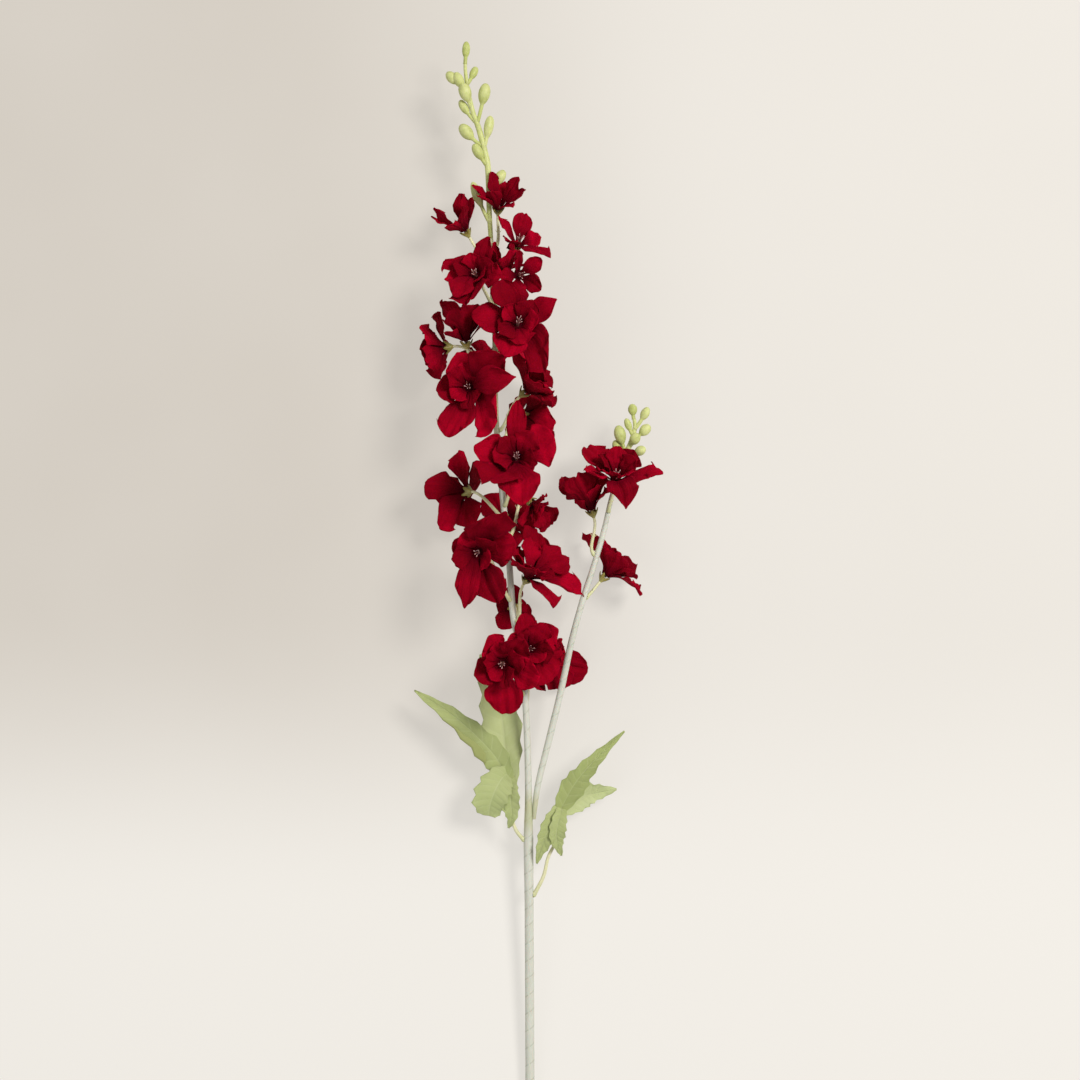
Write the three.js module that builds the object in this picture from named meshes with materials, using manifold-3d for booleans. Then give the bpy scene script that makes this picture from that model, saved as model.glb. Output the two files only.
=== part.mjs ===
// Delphinium flower spike: a cloth and plastic spray that lies on a surface on its back petals.
// Millimetres. +Y runs up the spike, +X to its right, +Z up from the surface at z = 0.
// The origin is on the surface, under the middle of the whole length.
import * as THREE from "three";
import Module from "manifold-3d";
import { mergeVertices } from "three/addons/utils/BufferGeometryUtils.js";

const wasm = await Module();
wasm.setup();

// ---------- driving sizes ----------

const CLOTH = 0.7; // thickness of petals and leaves
const CLEARANCE = 0.4; // air kept round a petal when it is bent clear of its neighbours
const SEAT_GAP = 0.35; // between a stalk and what carries it
const TO_MIDDLE = 1.6; // moves the whole spray sideways, so that the origin is under its middle

const HUB = 3.2; // radius of the uncut middle of a petal layer
const HOLE = 2.1; // radius of the hole that the stalk's peg goes through
const LAYER_STEP = 1.7; // height of the inner layer above the outer one
const PRESSED = 2.5; // petals that hang lower than this lie flat on the surface

const STALK = { sides: 5, root: 1.3, neck: 1.0, peg: 1.5, pegTop: 2.6 };
const CALYX = { foot: -6, belly: -3.2, rim: -0.9, neck: -1.3, bellyRadius: 3.0, rimRadius: 4.8 };
const LEAF_STALK = { sides: 6, foot: 1.5, head: 1.0 };
const LEAF = { notch: 0.84, toothSlant: 0.12, fold: 0.22 }; // shares of a lobe's half width
const BUD = { sides: 6, stalk: 1.0, neck: 0.9, shoulder: [0.3, 0.98], belly: [0.72, 1.05], sag: 0.12 };
const FILAMENT = { length: 8.5, spread: 3.6 };

// Axis of the main stem: x, y, z, radius. It is wound thicker below the fork.
const MAIN_STEM = [
  [-7.4, -404, 3.2, 3.4],
  [-7.4, -352, 8.0, 3.35],
  [-8.0, -218, 19.5, 3.3],
  [-8.4, -176, 23.1, 3.5],
  [-8.4, -166, 24.0, 3.3],
  [-8.4, -136, 26.5, 2.5],
  [-10.1, -79, 31.4, 2.4],
  [-13.7, -34.5, 35.2, 2.4],
  [-18.8, -13, 37.0, 2.35],
  [-22.4, 31, 38.7, 2.3],
  [-28.8, 96, 40.0, 2.2],
  [-32.1, 139, 40.9, 2.1],
  [-32.4, 193, 42.0, 2.0],
  [-33.8, 218, 42.5, 1.9],
  [-35.4, 262, 43.4, 1.8],
];

// Axis of the side stem: x, y, z, radius.
const SIDE_STEM = [
  [-4.3, -158, 25.6, 1.2],
  [-3.6, -148, 26.4, 1.9],
  [-1.5, -133, 27.4, 2.2],
  [6.5, -100, 30.0, 2.4],
  [15.2, -64, 32.7, 2.4],
  [23.1, -27, 35.2, 2.3],
  [31.0, 2, 37.0, 2.2],
  [39.0, 27, 38.2, 2.1],
  [46.2, 52, 39.1, 2.0],
  [51.2, 74, 39.6, 1.8],
  [56.0, 90, 40.0, 1.7],
];

// Axes of the two bud sprigs: x, y, z, radius.
const MAIN_SPRIG = [
  [-35.4, 262.35, 43.4, 1.7],
  [-36.4, 279, 43.7, 1.9],
  [-37.7, 315, 44.4, 2.2],
  [-39.7, 324, 44.6, 2.3],
  [-43.8, 340, 44.9, 2.1],
  [-48.4, 353, 45.2, 1.8],
  [-51.6, 368, 45.5, 1.5],
  [-53.4, 380, 45.7, 1.3],
  [-53.8, 390, 45.9, 1.2],
];
const SIDE_SPRIG = [
  [56.1, 90.35, 40.0, 1.6],
  [60.8, 104, 40.4, 2.0],
  [66.0, 117, 40.8, 1.8],
  [68.4, 127, 41.0, 1.5],
  [67.4, 134, 41.2, 1.2],
];

// Closed buds: where each leaves its axis, where it ends, its width and its own length.
const MAIN_BUDS = [
  { root: [-53.8, 387, 45.8], tip: [-52.8, 403, 46.2], width: 5.6, length: 12.5 },
  { root: [-52.0, 368, 45.5], tip: [-66.8, 380.5, 48.5], width: 7.4, length: 11 },
  { root: [-51.0, 364, 45.4], tip: [-61.0, 380, 50.0], width: 7.6, length: 12 },
  { root: [-52.5, 372, 45.6], tip: [-45.8, 385.5, 43.0], width: 5.6, length: 10 },
  { root: [-49.5, 356, 45.2], tip: [-55.6, 372, 51.5], width: 8.8, length: 14 },
  { root: [-47.0, 346, 45.1], tip: [-57.6, 361.5, 43.0], width: 6.2, length: 12 },
  { root: [-45.2, 344, 45.0], tip: [-38.6, 372.5, 48.5], width: 8.4, length: 14.5 },
  { root: [-40.5, 325, 44.7], tip: [-35.4, 349.5, 47.0], width: 6.8, length: 16 },
  { root: [-41.5, 328, 44.7], tip: [-57.2, 343, 47.5], width: 9.0, length: 13.5 },
  { root: [-38.2, 314, 44.4], tip: [-47.4, 329, 49.0], width: 7.2, length: 12.5 },
  { root: [-37.0, 295, 44.1], tip: [-26.0, 311.5, 40.0], width: 7.4, length: 12.5 },
  { root: [-36.2, 273, 43.7], tip: [-48.5, 302, 47.0], width: 7.2, length: 18 },
];
const SIDE_BUDS = [
  { root: [67.5, 132, 41.1], tip: [66.3, 143, 41.5], width: 6.6, length: 10 },
  { root: [68.4, 125, 41.0], tip: [77.8, 140.5, 43.5], width: 6.4, length: 10 },
  { root: [67.0, 120, 40.9], tip: [61.8, 132.5, 43.0], width: 5.2, length: 9.5 },
  { root: [62.2, 106, 40.5], tip: [56.0, 127.5, 42.5], width: 8.4, length: 13.5 },
  { root: [66.5, 117, 40.8], tip: [79.0, 128, 40.0], width: 7.6, length: 10 },
  { root: [64.4, 112, 40.7], tip: [70.0, 121.5, 47.5], width: 7.6, length: 10 },
  { root: [60.2, 101.5, 40.4], tip: [53.8, 117, 38.5], width: 6.4, length: 11 },
  { root: [61.8, 105.5, 40.5], tip: [75.8, 111.5, 43.5], width: 7.0, length: 9.5 },
];

// Leaves: each lobe has a rib (x, y, z) and its half widths along it, left and right of the rib.
const LEAVES = {
  left: {
    root: -173,
    stalk: [[-17.5, -166, 25.6], [-20.8, -155, 27.4], [-21.5, -136.5, 29.1]],
    lobes: [
      {
        rib: [[-21.5, -132, 27], [-30, -116, 29], [-44, -99, 33], [-65.5, -80, 36], [-91, -64, 31]],
        left: [4, 9, 11.5, 10.5, 8.5, 5.5, 0.6],
        right: [4, 8, 11.5, 9.5, 7, 4, 0.6],
      },
      {
        rib: [[-21.5, -136, 29], [-25, -112, 20], [-28.5, -84, 15], [-36, -57, 13], [-44, -39, 12]],
        left: [5, 12, 16.5, 16.5, 12, 7.5, 0.6],
        right: [5, 11, 14.5, 15, 11, 6, 0.6],
      },
      {
        rib: [[-22, -124, 25.5], [-27, -127, 32], [-32, -135, 35], [-36, -146, 33.5], [-37.5, -155, 30]],
        left: [4, 9, 12, 13, 13, 11, 6],
        right: [4, 9, 13, 15, 15, 12, 5],
      },
      {
        rib: [[-21.5, -126, 26], [-22, -134, 31.5], [-21, -145, 34], [-20.5, -155, 32.5], [-23, -164, 29]],
        left: [3, 6, 7, 7, 5.5, 3.5, 0.6],
        right: [3, 7, 9, 8, 6, 3, 0.6],
      },
    ],
  },
  right: {
    root: -214,
    stalk: [[2.6, -200, 22.2], [6.0, -186, 23.6], [12.0, -173, 24.2], [14.9, -153.7, 25.2]],
    lobes: [
      {
        rib: [[14.5, -152, 25.6], [23.3, -135, 29], [31, -124, 32], [44, -110, 35], [61, -93, 37]],
        left: [5, 9.5, 9.5, 7.5, 6, 3.5, 0.6],
        right: [4, 9, 10.5, 8, 5.5, 3, 0.6],
      },
      {
        rib: [[16, -153, 25], [26, -147, 21], [34, -142, 19], [44, -139.5, 18], [56, -137, 18.5]],
        left: [4, 9, 12, 11, 8, 5, 0.6],
        right: [4, 7, 8.5, 7.5, 6, 4, 0.6],
      },
      {
        rib: [[15.5, -148, 24.5], [10, -157, 30], [5, -167, 32.5], [1, -178, 31.5], [-2.5, -190, 28]],
        left: [4, 6, 7, 7.5, 6.5, 3.5, 0.6],
        right: [4, 6, 7, 6.5, 5, 3, 0.6],
      },
      {
        rib: [[16, -149, 25], [14, -157, 31], [12, -166, 34], [12.5, -175, 33], [15.5, -184, 30]],
        left: [3, 5.5, 7, 7.5, 6, 3.5, 0.6],
        right: [3, 5, 6, 6, 5, 3, 0.6],
      },
    ],
  },
};

// Blooms: the throat's place, the way it faces, the length of its outer petals, its turn about its
// own axis in degrees, the height y where its stalk leaves its stem, and its form (full if not given).
// own lists petals that stand out: layer, lobe, and what differs from its layer.
const BLOOMS = [
  {
    at: [-16, 197, 70], faces: [0.1, 0.2, 0.97], length: 28, turn: 10, root: 176,
    own: [
      [0, 0, { longer: 1.1, sway: 19 }],
      [0, 2, { longer: 1.1 }],
      [0, 3, { longer: 1.38, wider: 0.95, drawn: 0.1, sway: -16 }],
      [0, 4, { longer: 1.24, wider: 0.75, drawn: 1, lift: 14, sway: 2 }],
    ],
  },
  {
    at: [-50, 153, 67], faces: [-0.15, 0.1, 0.98], length: 28, turn: 25, root: 131,
    own: [
      [0, 0, { longer: 0.9, sway: -12 }],
      [0, 1, { longer: 0.75, sway: 10 }],
      [0, 2, { longer: 1.2, wider: 1.1, sway: -8 }],
      [0, 3, { longer: 1.3, wider: 1.35, drawn: 0.2, sway: -32 }],
      [0, 4, { longer: 1.25, wider: 1.2, drawn: 0.2 }],
      [1, 3, { longer: 2.3, wider: 1, drawn: 1, lift: -30 }],
    ],
  },
  {
    at: [-17, 102, 70], faces: [0.05, 0.25, 0.96], length: 29, turn: 0, root: 70,
    own: [
      [0, 0, { longer: 1.25, wider: 0.65, drawn: 0.5 }],
      [0, 1, { longer: 1.1, wider: 1, sway: 4 }],
      [0, 2, { longer: 1.35, wider: 1.4, drawn: 0.2 }],
      [0, 3, { longer: 0.6 }],
      [0, 4, { longer: 1.05, wider: 1.25, drawn: 0 }],
      [1, 2, { longer: 2.3, wider: 1.6, drawn: 0.3, lift: -30 }],
    ],
  },
  {
    at: [-43, 37, 67], faces: [-0.25, -0.15, 0.93], length: 29, turn: -16, root: 2,
    own: [
      [0, 0, { longer: 1.3, drawn: 0, sway: -16 }],
      [0, 1, { longer: 0.45, wider: 0.7, sway: 12 }],
      [0, 2, { longer: 0.65, wider: 0.75, sway: -12 }],
      [0, 3, { longer: 1.38, wider: 1.1, drawn: 0.2, sway: 16 }],
      [0, 4, { longer: 1.1, drawn: 0, sway: 10 }],
      [1, 2, { longer: 2.1, wider: 0.85, drawn: 1, lift: -30, sway: 7 }],
    ],
  },
  {
    at: [-26, -42, 65], faces: [-0.1, -0.1, 0.99], length: 25, turn: 36, root: -66,
    own: [
      [0, 0, { longer: 0.9, sway: -18 }],
      [0, 1, { longer: 0.8, sway: 12 }],
      [0, 2, { longer: 1.5, wider: 1.35, drawn: 0, sway: 5 }],
      [0, 3, { longer: 1.2, drawn: 0, sway: -8 }],
      [1, 2, { longer: 1.3, drawn: 0 }],
    ],
  },
  {
    at: [-9, -33, 54], faces: [0.35, 0.1, 0.9], length: 27, turn: 11, root: -58,
    own: [
      [0, 0, { longer: 0.75 }],
      [0, 3, { longer: 1.08, wider: 1.4, drawn: 0.2, sway: -8 }],
      [0, 4, { longer: 0.9 }],
    ],
  },
  {
    at: [-45, 232, 65], faces: [-0.25, 0.35, 0.9], length: 24, turn: -28, root: 214,
    own: [
      [0, 0, { longer: 1.1, wider: 0.6, drawn: 0.5, sway: 10 }],
      [0, 1, { longer: 0.8, drawn: 0.8, sway: 26 }],
      [0, 2, { longer: 0.9, wider: 0.75, drawn: 1, sway: -12 }],
      [0, 3, { longer: 1.3, wider: 1.5, drawn: 0.1 }],
      [0, 4, { longer: 0.9 }],
      [1, 2, { longer: 1.7, wider: 1.3, lift: -30, sway: 10 }],
    ],
  },
  {
    at: [-8.6, 18.5, 54], faces: [0.45, 0.72, 0.4], length: 28, turn: 20, root: -14,
    own: [
      [0, 4, { longer: 1.2, wider: 1.2, sway: 20 }],
      [0, 3, { longer: 1.6, wider: 0.8, drawn: 1, lift: -54, sway: -3 }],
      [0, 2, { longer: 1.1, wider: 0.6, drawn: 1, lift: -50, sway: 28 }],
      [1, 3, { longer: 1.55, wider: 1.5, lift: -15 }],
      [1, 4, { longer: 1.4, wider: 1.2 }],
    ],
  },
  {
    at: [-68, 183.5, 42], faces: [-0.8, -0.1, -0.35], length: 25, turn: 22, root: 166,
    own: [[0, 1, { longer: 1.1, drawn: 0 }], [0, 2, { longer: 0.85 }], [0, 4, { longer: 0.9 }]],
  },
  {
    at: [-53, 188, 50], faces: [-0.15, 0.95, 0.15], length: 33, turn: 10, root: 138, form: "closed",
    own: [[0, 4, { longer: 0.6 }]],
  },
  {
    at: [-53, 80, 44], faces: [-0.6, 0.05, -0.65], length: 26, turn: 5, root: 62,
    own: [
      [0, 0, { longer: 1.2 }],
      [0, 1, { longer: 1.4, wider: 1.3 }],
      [0, 2, { longer: 1.3, drawn: 1 }],
      [0, 3, { longer: 1.15, wider: 0.85, drawn: 0.2, sway: -26 }],
      [0, 4, { longer: 1, sway: -8 }],
    ],
  },
  {
    at: [-10, 152, 46], faces: [0.72, 0.64, 0.1], length: 27, turn: 30, root: 124,
    own: [
      [0, 0, { longer: 1.1, wider: 1.6 }],
      [0, 2, { longer: 0.75, lift: -25 }],
      [0, 3, { longer: 1.1, drawn: 1, lift: -20 }],
      [0, 4, { longer: 1.2, wider: 1.3 }],
      [1, 0, { longer: 1.25 }],
      [1, 3, { longer: 1.35, drawn: 0.8 }],
    ],
  },
  {
    at: [-30, 283.5, 48], faces: [0.05, 0.75, 0.6], length: 23.5, turn: 27, root: 254, form: "narrow",
    own: [[0, 1, { longer: 1.1 }]],
  },
  {
    at: [-54, 268, 44], faces: [-0.5, 0.8, 0.3], length: 25, turn: -14, root: 243, form: "narrow",
    own: [
      [0, 2, { longer: 1.2, wider: 0.6, drawn: 1, lift: -60 }],
      [0, 3, { lift: 20 }],
      [0, 4, { lift: 26 }],
    ],
  },
  {
    at: [-16, 257, 50], faces: [0.25, 0.6, 0.7], length: 24, turn: -18, root: 239, form: "single",
    own: [
      [0, 0, { longer: 0.85, drawn: 0.1 }],
      [0, 1, { longer: 0.95, wider: 0.7, drawn: 1, sway: -12 }],
      [0, 2, { longer: 0.6 }],
      [0, 3, { longer: 1.3, wider: 0.7, drawn: 0.9, sway: 16 }],
      [0, 4, { longer: 0.65, sway: -12 }],
    ],
  },
  {
    at: [-15, 234, 56], faces: [0.3, -0.1, 0.93], length: 17, turn: 22, root: 215, form: "single",
    own: [[0, 0, { longer: 1.1, wider: 0.6 }], [0, 2, { longer: 0.8 }], [0, 4, { longer: 1.15 }]],
  },
  {
    at: [-24.3, 237, 50], faces: [-0.15, 0.95, 0.3], length: 24, turn: 10, root: 222, form: "single",
    own: [
      [0, 0, { longer: 1, lift: 30 }],
      [0, 1, { longer: 0.9, lift: 40 }],
      [0, 2, { longer: 1, lift: 30 }],
      [0, 3, { longer: 1, lift: 40 }],
      [0, 4, { longer: 1, lift: 40 }],
    ],
  },
  {
    at: [-12, 136, 24], faces: [0.55, -0.15, -0.75], length: 26, turn: 15, root: 112,
    own: [[0, 1, { longer: 0.85 }]],
  },
  {
    at: [-5, 71, 38], faces: [0.6, -0.55, 0.3], length: 22, turn: 50, root: 48,
    own: [
      [0, 0, { longer: 0.6 }],
      [0, 2, { longer: 0.5, sway: -14 }],
      [0, 3, { longer: 0.95, wider: 1.05, drawn: 0.1, sway: -15 }],
      [0, 4, { longer: 0.45 }],
      [1, 1, { longer: 0.7 }],
      [1, 3, { longer: 0.6 }],
      [1, 4, { longer: 0.6 }],
    ],
  },
  {
    at: [3, -47, 10.5], faces: [0.75, -0.1, 0.65], length: 28, turn: -18, root: -72,
    own: [
      [0, 0, { longer: 0.8 }],
      [0, 2, { longer: 0.85 }],
      [0, 3, { longer: 0.5, lift: 20 }],
      [0, 4, { longer: 1.05, drawn: 0.1 }],
    ],
  },
  {
    at: [-19, -5, 14], faces: [-0.1, -0.1, -0.98], length: 18, turn: 0, root: -26,
    own: [[0, 1, { longer: 0.5 }], [0, 4, { longer: 0.7 }]],
  },
  { at: [-26, 60, 17], faces: [0.2, 0.1, -0.97], length: 25, turn: 25, root: 38 },
  {
    at: [-41, 175, 20], faces: [-0.5, -0.1, -0.85], length: 25, turn: 10, root: 150,
    own: [[0, 0, { longer: 0.75 }], [0, 3, { longer: 0.6 }], [0, 4, { longer: 0.6 }]],
  },
  {
    at: [54, 88, 51], faces: [0.1, 0.8, 0.55], length: 28, turn: 30, root: 66, side: true,
    own: [
      [0, 0, { longer: 1.32, drawn: 0.1 }],
      [0, 2, { longer: 1.5, wider: 0.8, drawn: 1, lift: -60, sway: 10 }],
      [0, 3, { longer: 1.2, wider: 0.75, drawn: 1, lift: -6, sway: 20 }],
      [0, 4, { longer: 0.85, sway: -10 }],
    ],
  },
  {
    at: [37, 67, 42], faces: [-0.3, 0.94, 0.1], length: 32, turn: 0, root: 34, form: "closed", side: true,
    own: [[0, 1, { longer: 0.7, lift: -60 }], [0, 4, { longer: 0.5, lift: 50 }]],
  },
  {
    at: [47.5, 19.6, 31], faces: [0.62, 0.75, -0.1], length: 27, turn: 10, root: 4, form: "closed",
    side: true,
    own: [
      [0, 0, { longer: 1.15, wider: 1.2, lift: -90, sway: -40 }],
      [0, 1, { longer: 0.7 }],
      [0, 2, { longer: 1.15, wider: 1.2, drawn: 1, lift: -45, sway: 15 }],
      [0, 3, { longer: 1.25, drawn: 1, lift: -6 }],
      [0, 4, { longer: 0.75 }],
    ],
  },
];

// Layers of a bloom, from the outside in: lobes, length and width against the bloom's petal length,
// the slope at the foot and at the tip in degrees, rows of the mesh, and how far the tips are drawn out.
const FORMS = {
  full: [
    { lobes: 5, reach: 1, width: 0.44, rise: [42, 8], rows: [0, 0.33, 0.66, 1], drawn: 0.35 },
    { lobes: 5, reach: 0.68, width: 0.33, rise: [66, 28], rows: [0, 0.55, 1], drawn: 0.25 },
  ],
  closed: [
    { lobes: 5, reach: 1, width: 0.42, rise: [56, 26], rows: [0, 0.33, 0.66, 1], drawn: 0.4 },
    { lobes: 5, reach: 0.62, width: 0.28, rise: [76, 52], rows: [0, 0.55, 1], drawn: 0.3 },
  ],
  single: [{ lobes: 5, reach: 1, width: 0.36, rise: [52, 12], rows: [0, 0.33, 0.66, 1], drawn: 0.3 }],
  narrow: [{ lobes: 8, reach: 1, width: 0.18, rise: [58, 22], rows: [0, 0.33, 0.66, 1], drawn: 0.5 }],
};

// Ways to bend a petal clear, the least change first: lift in degrees, sway in degrees, shortening.
const LIFTS = [0, 10, -10, 20, -20, 32, -32, 46, -46];
const SWAYS = [0, 9, -9];
const SHORTENINGS = [1, 0.85, 0.7, 0.55];

// ---------- small helpers ----------

const UP_THE_SPIKE = new THREE.Vector3(0, 1, 0);
const radians = THREE.MathUtils.degToRad;
const mix = THREE.MathUtils.lerp;
const smooth = THREE.MathUtils.smoothstep;
const vector = ([x, y, z]) => new THREE.Vector3(x, y, z);

/** A repeatable draw from 0 to 1 for one property of one petal. */
function draw(bloom, petal, property) {
  let state = 1 + bloom * 7919 + petal * 10007 + property * 101;
  for (let turn = 0; turn < 4; turn += 1) state = (state * 48271) % 2147483647;
  return state / 2147483647;
}

const spread = (bloom, petal, property) => 2 * draw(bloom, petal, property) - 1;

/** Two unit vectors square to an axis, the first one turned towards +Y where that is possible. */
function crossAxes(axis) {
  const towards = Math.abs(axis.y) < 0.9 ? UP_THE_SPIKE : new THREE.Vector3(0, 0, 1);
  const first = towards.clone().addScaledVector(axis, -towards.dot(axis)).normalize();
  return [first, axis.clone().cross(first)];
}

// ---------- solids with rings: stems, stalks and buds ----------

/** A closed solid through rings of one size or another; tips close its end, one or one per side. */
function ringedSolid(rings, sides, tips) {
  const points = [];
  const faces = [];
  let [first] = crossAxes(rings[0].along);
  for (const ring of rings) {
    first = first.clone().addScaledVector(ring.along, -first.dot(ring.along)).normalize();
    const second = ring.along.clone().cross(first);
    for (let side = 0; side < sides; side += 1) {
      const angle = (2 * Math.PI * side) / sides;
      const point = ring.centre.clone().addScaledVector(first, ring.radius * Math.cos(angle));
      points.push(point.addScaledVector(second, ring.radius * Math.sin(angle)));
    }
  }
  for (let ring = 0; ring + 1 < rings.length; ring += 1) {
    for (let side = 0; side < sides; side += 1) {
      const here = ring * sides + side;
      const next = ring * sides + ((side + 1) % sides);
      faces.push([here, next, next + sides], [here, next + sides, here + sides]);
    }
  }
  points.push(rings[0].centre.clone());
  const foot = points.length - 1;
  const top = (rings.length - 1) * sides;
  for (let side = 0; side < sides; side += 1) faces.push([foot, (side + 1) % sides, side]);
  if (tips.length === 1) {
    points.push(tips[0]);
    const tip = points.length - 1;
    for (let side = 0; side < sides; side += 1) faces.push([tip, top + side, top + ((side + 1) % sides)]);
    return { points, faces };
  }
  points.push(rings[rings.length - 1].centre.clone());
  const middle = points.length - 1;
  for (let side = 0; side < sides; side += 1) {
    points.push(tips[side]);
    const tip = points.length - 1;
    const next = top + ((side + 1) % sides);
    faces.push([tip, middle, top + side], [tip, top + side, next], [tip, next, middle]);
  }
  return { points, faces };
}

/** Rings along a smooth axis through hand-set stations of x, y, z and radius. */
function ringsAlong(stations, count) {
  const curve = new THREE.CatmullRomCurve3(stations.map(vector), false, "centripetal");
  const rings = [];
  for (let step = 0; step <= count; step += 1) {
    const place = (step / count) * (stations.length - 1);
    const before = Math.min(Math.floor(place), stations.length - 2);
    rings.push({
      centre: curve.getPoint(step / count),
      along: curve.getTangent(step / count),
      radius: mix(stations[before][3], stations[before + 1][3], place - before),
    });
  }
  return rings;
}

function stemSolid(stations, sides, rings) {
  const along = ringsAlong(stations, rings);
  return ringedSolid(along, sides, [along[along.length - 1].centre]);
}

/** A bud on its little stalk, curved from its axis out to its tip. */
function budSolid(bud) {
  const root = vector(bud.root);
  const tip = vector(bud.tip);
  const reach = root.distanceTo(tip);
  const elbow = root.clone().lerp(tip, 0.5).addScaledVector(UP_THE_SPIKE, -BUD.sag * reach);
  const curve = new THREE.QuadraticBezierCurve3(root, elbow, tip);
  const foot = Math.max(0.25, 1 - bud.length / reach);
  const half = bud.width / 2;
  const profile = [[0, BUD.stalk], [foot, BUD.neck]];
  for (const [place, share] of [BUD.shoulder, BUD.belly]) profile.push([mix(foot, 1, place), share * half]);
  const rings = profile.map(([place, radius]) => ({
    centre: curve.getPoint(place),
    along: curve.getTangent(place),
    radius,
  }));
  return ringedSolid(rings, BUD.sides, [tip]);
}

// ---------- thin solids: leaf lobes ----------

/** A closed thin solid on a grid of points; both faces are split into triangles alike. */
function sheetSolid(grid, thickness) {
  const rows = grid.length;
  const columns = grid[0].length;
  const points = [];
  for (const side of [-0.5, 0.5]) {
    for (let row = 0; row < rows; row += 1) {
      for (let column = 0; column < columns; column += 1) {
        const normal = gridNormal(grid, row, column);
        points.push(grid[row][column].clone().addScaledVector(normal, side * thickness));
      }
    }
  }
  const low = (row, column) => row * columns + column;
  const high = (row, column) => rows * columns + low(row, column);
  const faces = [];
  const wall = (here, next) => {
    const [a, b, c, d] = [low(...here), low(...next), high(...next), high(...here)];
    faces.push([a, b, c], [a, c, d]);
  };
  for (let row = 0; row + 1 < rows; row += 1) {
    for (let column = 0; column + 1 < columns; column += 1) {
      const cell = [[row, column], [row + 1, column], [row + 1, column + 1], [row, column + 1]];
      const [a, b, c, d] = cell.map((place) => high(...place));
      const [e, f, g, h] = cell.map((place) => low(...place));
      faces.push([a, b, c], [a, c, d], [e, g, f], [e, h, g]);
    }
    wall([row, 0], [row + 1, 0]);
    wall([row + 1, columns - 1], [row, columns - 1]);
  }
  for (let column = 0; column + 1 < columns; column += 1) {
    wall([rows - 1, column], [rows - 1, column + 1]);
    wall([0, column + 1], [0, column]);
  }
  return { points, faces };
}

/** The unit normal of a grid of points, from its neighbours along and across. */
function gridNormal(grid, row, column) {
  const rowBefore = grid[Math.max(row - 1, 0)][column];
  const rowAfter = grid[Math.min(row + 1, grid.length - 1)][column];
  const before = grid[row][Math.max(column - 1, 0)];
  const after = grid[row][Math.min(column + 1, grid[row].length - 1)];
  const along = rowAfter.clone().sub(rowBefore);
  return along.cross(after.clone().sub(before)).normalize();
}

/** One toothed lobe of a leaf, folded a little along its rib. */
function lobeSolid(lobe) {
  const curve = new THREE.CatmullRomCurve3(lobe.rib.map(vector), false, "centripetal");
  const stations = lobe.left.length - 1;
  const rows = 2 * stations; // a notch and a tooth for each station
  const widthAt = (widths, row) => {
    const place = (row / rows) * stations;
    const before = Math.min(Math.floor(place), stations - 1);
    const tooth = row % 2 === 1 || row === rows ? 1 : LEAF.notch;
    return tooth * mix(widths[before], widths[before + 1], place - before);
  };
  const grid = [];
  for (let row = 0; row <= rows; row += 1) {
    const centre = curve.getPoint(row / rows);
    const along = curve.getTangent(row / rows);
    const across = new THREE.Vector3(0, 0, 1).cross(along).normalize();
    const lift = along.clone().cross(across);
    const fold = (side, width) => centre.clone()
      .addScaledVector(across, side * width)
      .addScaledVector(along, row % 2 === 1 ? LEAF.toothSlant * width : 0)
      .addScaledVector(lift, LEAF.fold * width);
    grid.push([fold(-1, widthAt(lobe.right, row)), centre, fold(1, widthAt(lobe.left, row))]);
  }
  return sheetSolid(grid, CLOTH);
}

// ---------- petals ----------

/** The layers of a bloom with its petals, each a set of numbers that petalPoint turns into a surface. */
function bloomLayers(bloom, number) {
  return FORMS[bloom.form ?? "full"].map((layer, level) => {
    const petals = [];
    for (let lobe = 0; lobe < layer.lobes; lobe += 1) {
      const index = level * 10 + lobe;
      const change = (property, size) => size * spread(number, index, property);
      const [, , own = {}] = (bloom.own ?? []).find(([l, k]) => l === level && k === lobe) ?? [];
      const { longer = 1, wider = Math.sqrt(longer), lift = 0, sway = 0 } = own;
      const drawn = own.drawn ?? THREE.MathUtils.clamp(layer.drawn + change(9, 0.35), 0, 1);
      petals.push({
        lobes: layer.lobes,
        angle: radians(bloom.turn) + ((lobe + level / 2) * 2 * Math.PI) / layer.lobes,
        base: level * LAYER_STEP,
        length: bloom.length * layer.reach * (longer + change(1, 0.14)),
        half: bloom.length * layer.width * (wider + change(2, 0.1)),
        rise: [radians(layer.rise[0] + change(3, 7)), radians(layer.rise[1] + change(4, 24) + lift)],
        twist: radians(11 + change(5, 6)),
        cup: 0.12 + change(6, 0.18),
        wave: [draw(number, index, 7), draw(number, index, 8)],
        waveHeight: 0.075 * bloom.length * layer.reach,
        capDepth: mix(0.13, 0.34, drawn),
        capPower: mix(2.4, 0.9, drawn),
        shoulder: mix(0.62, 0.3, drawn),
        sway: radians(sway + change(10, 8)),
      });
    }
    return { petals, rows: layer.rows, base: level * LAYER_STEP };
  });
}

/** Half width of a petal at a place from foot to tip, as a part of its greatest half width. */
function petalOutline(petal, place) {
  const widest = 0.62;
  if (place < widest) return 0.3 + 0.7 * Math.sin((0.5 * Math.PI * place) / widest);
  return 1 - (1 - petal.shoulder) * ((place - widest) / (1 - widest)) ** 2;
}

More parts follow.
